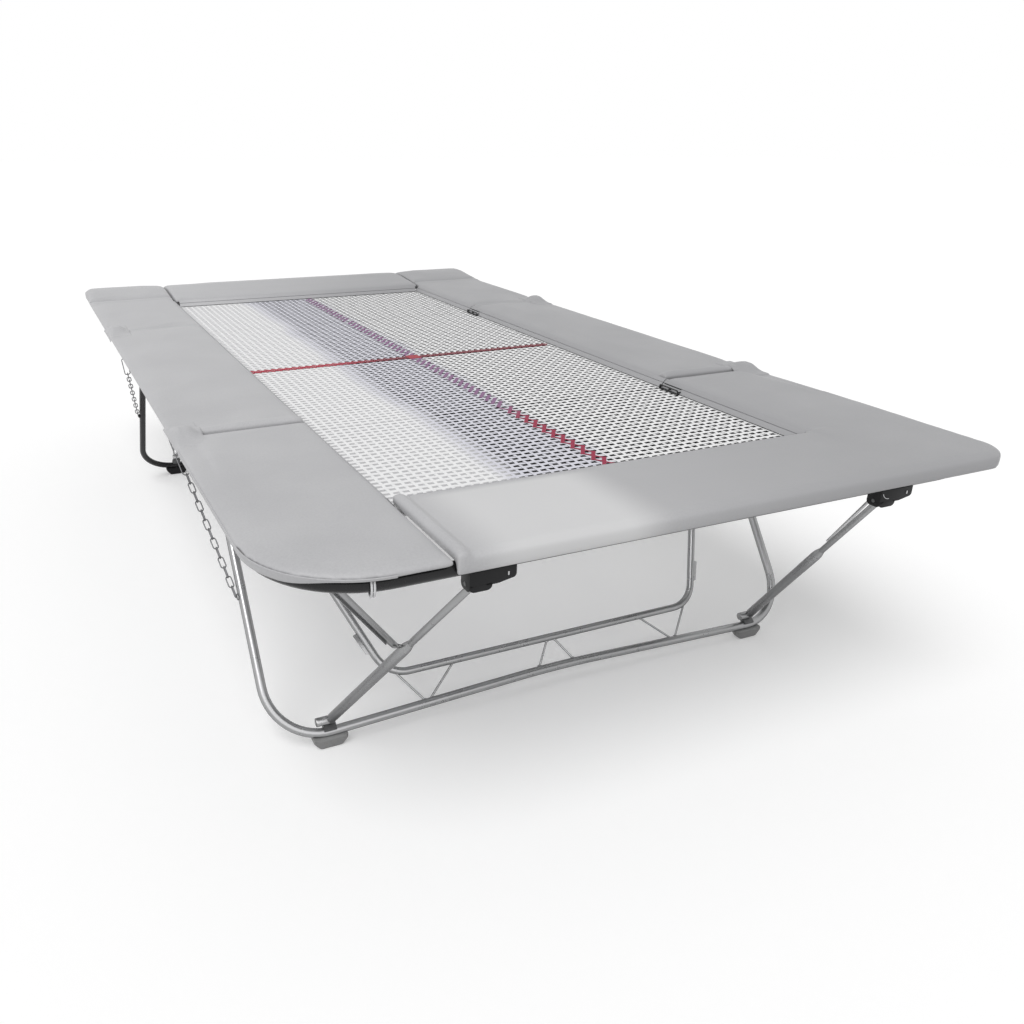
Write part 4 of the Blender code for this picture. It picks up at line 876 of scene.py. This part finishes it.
for side in (-1, 1):
    makeSideRail(side)
for half in turns:
    makeEndTube(half)
    makeOuterLeg(half)
    makeInnerLeg(half)
    for side in (-1, 1):
        for make in (makeFoot, makeLegPin, makeStrut, makeSeat, makeSaddle, makeBrace, makeChain):
            make(half, side)
print("steel frame made")

# Springs: close coils with a hook at each end, in rows along a thin rail

bedReach = dict(x=1.065, y=2.13)
springSizes = dict(radius=0.011, wire=0.0019, turns=34, cells=8, hook=0.045, straight=0.75, throat=0.25,
                   pitch=0.145, railRadius=0.005, railSides=12, inset=0.0303, border=0.05, start=0.006)


def makeSpringShape(span):
    s = springSizes
    way, length = span.normalized(), span.length
    side, above = way.cross(Vector((0, 0, 1))), Vector((0, 0, 1))
    coil, body, count = s["radius"] - s["wire"], length - 2 * s["hook"], s["turns"] * s["cells"]
    points = [Vector(), way * s["hook"] * s["straight"]]
    for k in range(count + 1):
        a = 2 * math.pi * k / s["cells"]
        ease = min(1, k / s["cells"], (count - k) / s["cells"])
        around = (side * math.cos(a) + above * math.sin(a)) * coil * (s["throat"] + (1 - s["throat"]) * ease)
        points.append(way * (s["hook"] + body * k / count) + around)
    points += [span - way * s["hook"] * s["straight"], span]
    return tube(points, s["wire"], 4)


def spaced(low, high):
    count = round((high - low) / springSizes["pitch"])
    return [low + (high - low) * k / count for k in range(count + 1)]


def sideEnds(side, low, high):
    hookX, z = railSizes["x"] - springSizes["inset"], railSizes["z"]
    return [(Vector((side * hookX, y, z)), Vector((side * bedReach["x"], y, z))) for y in spaced(low, high)]


def makeSpringRow(name, body, node, ends, rail):
    first = ends[0][1] - ends[0][0]
    model = makeSpringShape(first)
    parts = [rail]
    for start, end in ends:
        copy = model.copy()
        copy.data = model.data.copy()
        bpy.context.scene.collection.objects.link(copy)
        turn = first.rotation_difference(end - start).to_matrix().to_4x4()
        copy.data.transform(Matrix.Translation(start) @ turn)
        parts.append(copy)
    bpy.data.objects.remove(model)
    finishPiece(joined(parts), name, body, "galvanised_steel", zincDark, node)


def makeSprings():
    s, r = springSizes, railSizes
    hookX, hookY, z = r["x"] - s["inset"], r["endY"] - s["inset"], r["z"]
    reach = fold - s["pitch"] / 2
    for side in (-1, 1):
        name = "left" if side < 0 else "right"
        rail = bar((side * hookX, -reach, z), (side * hookX, reach, z), s["railRadius"], s["railSides"])
        makeSpringRow(name + "MiddleSprings", "middle_section", name + "_middle_springs",
                      sideEnds(side, -reach + s["start"], reach - s["start"]), rail)
    start, radius, across = fold + r["gap"], r["corner"] - s["inset"], bedReach["x"] - s["border"]
    corners = [(-hookX, -start, z), (-hookX, -hookY, z), (hookX, -hookY, z), (hookX, -start, z)]
    for half in turns:
        ends = [pair for side in (-1, 1)
                for pair in sideEnds(side, -bedReach["y"] + s["border"], -fold - s["pitch"] / 2)]
        ends += [(Vector((x, -hookY, z)), Vector((x, -bedReach["y"], z))) for x in spaced(-across, across)]
        ends = [(turns[half] @ hook, turns[half] @ eye) for hook, eye in ends]
        rail = tube(roundPath(corners, (0, radius, radius, 0), 12), s["railRadius"], s["railSides"])
        makeSpringRow(half + "Springs", half + "_section", half + "_springs", ends, toHalf(rail, half))


makeSprings()
print("springs made")

# Bed: flat cords woven over and under each other, in three lengths, with hemmed borders

bedSizes = dict(pitch=0.0385, wideCord=0.0200, thinCord=0.0135, thick=0.0078, wave=0.0007, z=1.150,
                border=0.045, hem=0.0042, hemEdge=0.0015)
bedSpans = {
    "middle": (-fold + railSizes["gap"], fold - railSizes["gap"]),
    "near": (-bedReach["y"], -fold - railSizes["gap"]),
    "far": (fold + railSizes["gap"], bedReach["y"]),
}


def ribbon(length, width, cells, phase, count, gap, crosswise):
    piece = gridOf(1, cells * 2)
    piece.scale = (width / 2, length / 2, 1)
    settle(piece)
    for vert in piece.data.vertices:
        step = round((vert.co.y / length + 0.5) * cells * 2)
        vert.co.z = bedSizes["wave"] * (1 if (step // 2 + phase) % 2 else -1) if step % 2 else 0
    rowOf(piece, count, (gap, 0, 0))
    if crosswise:
        piece.data.transform(Matrix.Rotation(math.pi / 2, 4, "Z"))
    return piece


def makeBed(name, body, node, low, high):
    b, reach = bedSizes, bedReach["x"]
    width, length = 2 * reach, high - low
    columns, rows = round(width / b["pitch"]), round(length / b["pitch"])
    stepX, stepY = width / columns, length / rows
    parts = []
    for phase in (0, 1):
        strip = ribbon(length, b["thinCord"], rows, phase, len(range(phase, columns, 2)), 2 * stepX, False)
        strip.data.transform(Matrix.Translation((-reach + stepX * (phase + 0.5), (low + high) / 2, b["z"])))
        parts.append(strip)
        strip = ribbon(width, b["wideCord"], columns, phase + 1, len(range(phase, rows, 2)), 2 * stepY, True)
        strip.data.transform(Matrix.Translation((0, low + stepY * (phase + 0.5), b["z"])))
        parts.append(strip)
    cloth = joined(parts)
    shape(cloth, "SOLIDIFY", thickness=b["thick"], offset=0)
    finishPiece(cloth, name, body, "white_webbing", webbing, node)
    edges = [((-reach, low), (-reach + b["border"], high)), ((reach - b["border"], low), (reach, high))]
    if low < -fold:
        edges.append(((-reach, low), (reach, low + b["border"])))
    if high > fold:
        edges.append(((-reach, high - b["border"]), (reach, high)))
    bottom, top = b["z"] - b["hem"], b["z"] + b["hem"]
    hems = [block((*start, bottom), (*end, top), b["hemEdge"]) for start, end in edges]
    hem = finishPiece(joined(hems), name + "Hem", body, "white_webbing", webbing)


for part, (low, high) in bedSpans.items():
    makeBed(part + "Bed", part + "_section", part + "_bed", low, high)
print("bed made")

# Red markings: crosses stitched along the near part's middle, slanted bars further on, a dashed
# line across, and a square at the centre

markSizes = dict(x=0.021, halfWidth=0.031, z=1.1557, over=0.0003, thick=0.0014, cell=0.0385, cord=0.0165,
                 thinCord=0.0095, overrun=0.10, barCord=0.0180, barPitch=0.060, barRise=0.085,
                 crossY=-0.012, crossSpan=(-0.945, 0.905), bead=0.80, beadCord=0.019, slant=0.022, rows=0.013,
                 beadOver=0.0002, patch=0.075, patchOver=0.0012)
markSpans = {"near": (-2.065, -fold - 0.018), "middle": (-fold + 0.006, fold - 0.036),
             "far": (fold + 0.006, 2.02)}


def placedBlock(length, width, place):
    piece = added(bpy.ops.mesh.primitive_cube_add, size=1)
    piece.data.transform(place @ Matrix.Diagonal((length, width, markSizes["thick"], 1)))
    return piece


def flatCord(start, end, width):
    start, end = Vector(start), Vector(end)
    return placedBlock((end - start).length, width,
                       placeAt((start + end) / 2, (end - start).normalized(), Vector((0, 0, 1))))


def makeLengthMark(part, low, high):
    m = markSizes
    left, right, z, top = m["x"] - m["halfWidth"], m["x"] + m["halfWidth"], m["z"], m["z"] + m["over"]
    crossed = part == "near"
    count = round((high - low) / (2 * m["cell"] if crossed else m["barPitch"]))
    step = (high - low) / count
    if crossed:
        start, end = low - step * m["overrun"], low + step * (1 + m["overrun"])
        strokes = [flatCord((left, start, z), (right, end, top), m["cord"]),
                   flatCord((right, start, z), (left, end, top), m["thinCord"])]
    else:
        strokes = [flatCord((left, low, z), (right, low + m["barRise"], top), m["barCord"])]
    piece = rowOf(joined(strokes), count, (0, step, 0))
    finishPiece(piece, part + "LengthMark", part + "_section", "white_webbing", lengthCord)


def makeCrossMark():
    m = markSizes
    low, high = m["crossSpan"]
    count = round((high - low) / m["cell"])
    step = (high - low) / count
    parts = []
    for start, y in ((low, m["crossY"] - m["rows"]), (low + step / 2, m["crossY"] + m["rows"])):
        end = (start + step * m["bead"], y - m["slant"] / 2, m["z"] + m["beadOver"])
        parts.append(flatCord((start, y + m["slant"] / 2, m["z"]), end, m["beadCord"]))
    beads = rowOf(joined(parts), count, (step, 0, 0))
    finishPiece(beads, "crossMark", "middle_section", "white_webbing", crossCord)
    centre = Matrix.Translation((m["x"], m["crossY"], m["z"] + m["patchOver"]))
    finishPiece(placedBlock(m["patch"], m["patch"], centre), "centreMark", "middle_section", "white_webbing",
                redPatch)


for part, (low, high) in markSpans.items():
    makeLengthMark(part, low, high)
makeCrossMark()
print("markings made")

# Pads: each CAD pad's form, remeshed, swollen a little under pressure, and rolled at its seams

padCloth = dict(voxel=0.013, pressure=4.0, frames=14, quality=4, cap=0.004, smooth=3, topStart=0.012,
                trim=0.0005, seedStep=3.7, weld=0.0001)
padWaves = ((2.2, 0.0018, 0), (7.0, 0.0008, 9))  # scale, height and seed of the uneven top
padRolls = {  # raised rolls across a pad: axis, place, half width, rise
    "left_middle_pad": [("y", -1.080, 0.028, 0.013), ("y", 1.084, 0.022, 0.006)],
    "right_middle_pad": [("y", -1.078, 0.034, 0.014), ("y", 1.080, 0.026, 0.008)],
    "near_front_pad": [("x", -0.930, 0.028, 0.014)],
}
padLift = dict(start=2.07, end=2.62, rise=0.032, steep=1.6, turn=0.8, fall=2.5)  # the far end is fuller
padBodies = {
    "left_middle_pad": "middle_section", "right_middle_pad": "middle_section",
    "near_left_pad": "near_section", "near_front_pad": "near_section", "far_end_pad": "far_section",
    "far_left_corner_pad": "far_section", "far_right_corner_pad": "far_section",
    "far_left_side_pad": "far_section", "far_right_side_pad": "far_section",
}


def swell(piece):
    c = padCloth
    rest = np.array([v.co for v in piece.data.vertices])
    cloth = piece.modifiers.new("Cloth", "CLOTH")
    cloth.settings.use_pressure = True
    cloth.settings.uniform_pressure_force = c["pressure"]
    cloth.settings.effector_weights.gravity = 0
    cloth.settings.quality = c["quality"]
    cloth.point_cache.frame_end = c["frames"] + 1
    for number in range(1, c["frames"] + 1):
        bpy.context.scene.frame_set(number)
    pick(piece)
    bpy.ops.object.modifier_apply(modifier=cloth.name)
    moved = np.array([v.co for v in piece.data.vertices]) - rest
    reach = np.linalg.norm(moved, axis=1, keepdims=True)
    moved *= np.minimum(1, c["cap"] / np.maximum(reach, 1e-9))
    piece.data.vertices.foreach_set("co", (rest + moved).astype(np.float32).ravel())
    piece.data.update()


def raisedBy(co, rolls, seed):
    rise = sum(noise.noise(Vector((co.x * scale, co.y * scale, seed + shift))) * height
               for scale, height, shift in padWaves)
    if co.y > padLift["start"]:
        share = (co.y - padLift["start"]) / (padLift["end"] - padLift["start"])
        rise += (padLift["rise"] * min(1, share * padLift["steep"])
                 * (1 - max(0, share - padLift["turn"]) * padLift["fall"]))
    for axis, place, width, height in rolls:
        away = abs(getattr(co, axis) - place) / width
        if away < 1:
            rise += height * math.sqrt(1 - away * away)
    return rise


def makePad(node, body, seed):
    c, bottom = padCloth, railSizes["padBottom"]
    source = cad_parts[node]
    piece = source.copy()
    piece.data = source.data.copy()
    for key in list(piece.keys()):
        if key.startswith("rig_"):
            del piece[key]
    piece.parent = None
    piece.hide_render = piece.hide_viewport = False
    bpy.context.scene.collection.objects.link(piece)
    piece.matrix_world = Matrix.Identity(4)
    weld(piece, c["weld"])
    if node == "near_left_pad":
        cutAway(piece, (0, 0, bottom - c["trim"]), (0, 0, 1), use_fill=False, clear_inner=True)
    shape(piece, "REMESH", mode="VOXEL", voxel_size=c["voxel"])
    shape(piece, "SMOOTH", factor=0.5, iterations=c["smooth"])
    swell(piece)
    for vert in piece.data.vertices:
        if vert.co.z > bottom + c["topStart"]:
            vert.co.z += raisedBy(vert.co, padRolls.get(node, ()), seed)
    shape(piece, "SUBSURF", levels=1, render_levels=1)
    first, *rest = node.split("_")
    name = first + "".join(word.title() for word in rest) + "Cushion"
    finishPiece(piece, name, body, "grey_vinyl", vinyl, node, angle=180)


for index, (node, body) in enumerate(padBodies.items()):
    makePad(node, body, index * padCloth["seedStep"])
    print("pad made:", node)

# Skirts: the pads' inner edges fold down to the bed

skirtSizes = dict(openX=0.96, openY=2.07, edge=0.006, gap=0.004, reach=0.030, endGap=0.002)
skirtProfile = [  # outwards from the opening's edge, and height
    (0.006, 1.1985), (0, 1.1945), (-0.003, 1.1915), (-0.012, 1.1820), (-0.010, 1.1790), (-0.016, 1.1770),
    (-0.030, 1.1590), (-0.024, 1.1580), (-0.006, 1.1770), (0.009, 1.1925),
]


def makeSkirts():
    s = skirtSizes
    reach = s["openX"] - s["reach"] - s["endGap"]
    end, start = s["openY"] - s["edge"], fold + s["gap"]
    spans = {"middle": (s["gap"] - fold, fold - s["gap"]), "near": (-end, -start), "far": (start, end)}
    for part, (low, high) in spans.items():
        parts = []
        for side in (-1, 1):
            outline = [(side * (s["openX"] + out), z) for out, z in skirtProfile]
            parts.append(plate(outline, high - low, fronted((low + high) / 2)))
        if part != "middle":
            sign = -1 if part == "near" else 1
            outline = [(sign * (s["openY"] + out), z) for out, z in skirtProfile]
            parts.append(plate(outline, 2 * reach, upright(0)))
        finishPiece(joined(parts), part + "Skirts", part + "_section", "grey_vinyl", vinyl)


makeSkirts()

# Hinge hoods: soft covers over the four hinges

hoodSizes = dict(x=1.4845, outer=0.0545, inner=0.085, sectionReach=0.145, middleReach=0.180, base=1.2060,
                 rise=0.0308, flatOuter=0.25, flatInner=0.16, flatAlong=0.012, fadeMiddle=0.125,
                 fadeSection=0.090, drop=0.022, dropStart=0.62, tuck=0.100, tuckStart=0.9, thick=0.0025,
                 rollPlace=0.031, rollStart=0.2, roll={"near": (0.0150, 0.036), "far": (0.0085, 0.030)},
                 cells=(20, 40), bendReach=0.03)


def easeOut(share):
    return 0.5 + 0.5 * math.cos(math.pi * min(1, max(0, share)))


def makeHood(half, side):
    h = hoodSizes
    rollRise, rollWidth = h["roll"][half]
    piece = gridOf(*h["cells"])
    for vert in piece.data.vertices:
        u, v = vert.co.x, vert.co.y  # -1 to 1, outwards and towards the middle section
        along = v * (h["middleReach"] if v > 0 else h["sectionReach"])
        flat = h["flatOuter"] if u > 0 else h["flatInner"]
        fade = h["fadeMiddle"] if v > 0 else h["fadeSection"]
        bulge = (h["rise"] * easeOut((abs(u) - flat) / (1 - flat))
                 * easeOut((abs(along) - h["flatAlong"]) / fade))
        away = abs(along - h["rollPlace"]) / rollWidth
        roll = (rollRise * math.sqrt(max(0, 1 - away * away))
                * easeOut((u - h["rollStart"]) / (1 - h["rollStart"])))
        fall = max(0, (u - h["dropStart"]) / (1 - h["dropStart"])) ** 2 * h["drop"]
        tuck = h["tuck"] * max(0, -u - h["tuckStart"], abs(v) - h["tuckStart"])
        vert.co = (side * (h["x"] + u * h["outer" if u > 0 else "inner"]), -fold + along,
                   h["base"] + max(bulge, roll) - fall - tuck)
    weld(piece)
    shape(piece, "SOLIDIFY", thickness=h["thick"], offset=-1)
    shape(piece, "SUBSURF", levels=1, render_levels=1)
    finishHalf([piece], half, cornerName(half, side) + "_hingeHood", None, "grey_vinyl", vinyl, angle=180)
    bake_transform(piece)


for half in turns:
    for side in (-1, 1):
        makeHood(half, side)

# Cord that ties the near left pad round the end tube

cordSizes = dict(x=-1.21, radius=0.0036, gap=0.009, clearance=0.0385, opening=25, sink=0.010, steps=28)


def makePadCord():
    c, r = cordSizes, railSizes
    centre = Vector((r["corner"] - r["x"], r["corner"] - r["endY"], r["z"]))
    turn = math.asin((c["x"] - centre.x) / r["corner"])
    spoke = Vector((math.sin(turn), -math.cos(turn), 0))
    along = Vector((math.cos(turn), math.sin(turn), 0))
    half = 180 - c["opening"]
    loop = arc((0, 0), c["clearance"], -90 - half, -90 + half, c["steps"])
    level = r["padBottom"] + c["sink"] - r["z"]
    loop = [(loop[0][0], level), *loop, (loop[-1][0], level)]
    cords = []
    for shift in (-c["gap"] / 2, c["gap"] / 2):
        start = centre + spoke * r["corner"] + along * shift
        cords.append(tube([start + spoke * out + Vector((0, 0, up)) for out, up in loop], c["radius"], 12))
    finishPiece(joined(cords), "padCord", "near_section", "white_webbing", cordWhite)


makePadCord()

# Hanging edge of the near left pad's cover, which runs out where the cord comes through

lipSizes = dict(outerX=1.535, outerY=2.620, startY=-1.225, radius=0.390, inset=0.0015, lean=0.007, top=1.1890,
                low=1.1560, high=1.1770, rise=(0.38, 0.72), thick=0.004, edge=0.0015, cells=(60, 4))


def makePadLip():
    s, (riseStart, riseEnd) = lipSizes, lipSizes["rise"]
    centre = Vector((s["radius"] - s["outerX"], s["radius"] - s["outerY"]))
    straight, bend = s["startY"] - centre.y, s["radius"] * math.pi / 2
    piece = gridOf(*s["cells"])
    for vert in piece.data.vertices:
        run, down = (vert.co.x + 1) / 2 * (straight + bend), (1 - vert.co.y) / 2
        share = max(0, run - straight) / bend
        fade = easeOut((share - riseStart) / (riseEnd - riseStart))
        low = s["high"] + (s["low"] - s["high"]) * fade
        reach, angle = s["radius"] - s["inset"] - s["lean"] * down, share * math.pi / 2
        y = s["startY"] - run if run < straight else centre.y - reach * math.sin(angle)
        vert.co = (centre.x - reach * math.cos(angle), y, s["top"] + (low - s["top"]) * down)
    weld(piece)
    shape(piece, "SOLIDIFY", thickness=s["thick"], offset=-1)
    shape(piece, "BEVEL", width=s["edge"], segments=2, limit_method="ANGLE")
    finishPiece(piece, "nearLeftPadLip", "near_section", "grey_vinyl", vinyl, angle=180)


makePadLip()

# Small black clamps on the bed's rim beside the fold lines

clampSizes = dict(x=0.934, depth=0.026, length=0.150, height=0.026, wall=0.006, low=1.1532, start=0.006,
                  bends=(0, 0.012, 0.012, 0, 0, 0.008, 0.008, 0), pin=0.0045, pinShare=0.55,
                  footHalf=0.018, foot=0.004, edge=0.001)


def makeClamp(half, side, body, direction):
    c = clampSizes
    length, height, wall = c["length"], c["height"], c["wall"]
    low = -fold + (c["start"] if direction > 0 else -c["start"] - length)
    arch = [(0, 0), (0, height), (length, height), (length, 0), (length - wall, 0),
            (length - wall, height - wall), (wall, height - wall), (wall, 0)]
    outline = [(low + y, c["low"] + z) for y, z in roundOutline(arch, c["bends"], 6)]
    inner, outer = (side * (c["x"] + shift) for shift in (-c["depth"] / 2, c["depth"] / 2))
    parts = [plate(outline, wall, upright(x)) for x in (inner, outer)]
    for y in (low + wall / 2, low + length / 2, low + length - wall / 2):
        z = c["low"] + height * c["pinShare"]
        parts.append(bar((inner, y, z), (outer, y, z), c["pin"], 12))
    centre = side * c["x"]
    parts.append(block((centre - c["footHalf"], low, c["low"]),
                       (centre + c["footHalf"], low + length, c["low"] + c["foot"]), c["edge"]))
    finishHalf(parts, half, cornerName(half, side) + "_clamp", body, "black_plastic", blackGloss)


makeClamp("near", 1, "near_section", -1)
makeClamp("far", -1, "middle_section", 1)
print("trim made")

# World, lamp and floor

studio = dict(ambient=0.50, sun=1.85, angle=40.0, sunPlace=(-4.2, -3.6, 8.0), floor=0.80, rough=0.9,
              lift=0.24, size=120)


def seenPlainly(tree):  # by the camera, or mirrored in a surface
    path = addNode(tree, "ShaderNodeLightPath", {}).outputs
    return calculate(tree, "MAXIMUM", path["Is Camera Ray"], path["Is Glossy Ray"])


def mixShaders(tree, mask, first, second, output):
    mix = addNode(tree, "ShaderNodeMixShader", {0: mask, 1: first.outputs[0], 2: second.outputs[0]})
    tree.links.new(mix.outputs[0], tree.nodes[output].inputs["Surface"])


def makeStudio(s):
    world = bpy.data.worlds.new("studio")
    bpy.context.scene.world = world
    world.use_nodes = True
    tree, light = world.node_tree, world.node_tree.nodes["Background"]
    feed(tree, light.inputs["Color"], (1, 1, 1))
    feed(tree, light.inputs["Strength"], s["ambient"])
    white = addNode(tree, "ShaderNodeBackground", {"Color": (1, 1, 1), "Strength": 1.0})
    mixShaders(tree, seenPlainly(tree), light, white, "World Output")
    lamp = added(bpy.ops.object.light_add, type="SUN", location=s["sunPlace"])
    lamp.name = "keyLamp"
    lamp.data.energy = s["sun"]
    lamp.data.angle = math.radians(s["angle"])
    lamp.rotation_euler = (-Vector(s["sunPlace"])).to_track_quat("-Z", "Y").to_euler()
    floor = added(bpy.ops.mesh.primitive_plane_add, size=s["size"])
    floor.name = "studioFloor"
    paint = {"Base Color": (s["floor"],) * 3, "Roughness": s["rough"], "Specular IOR Level": 0.0}
    material, tree, shader = newMaterial("floorPaint", paint)
    glow = addNode(tree, "ShaderNodeEmission", {"Color": (1, 1, 1), "Strength": s["lift"]})
    lit = addNode(tree, "ShaderNodeAddShader", {0: shader.outputs[0], 1: glow.outputs[0]})
    mixShaders(tree, seenPlainly(tree), shader, lit, "Material Output")
    floor.data.materials.append(material)


makeStudio(studio)
print("studio made")
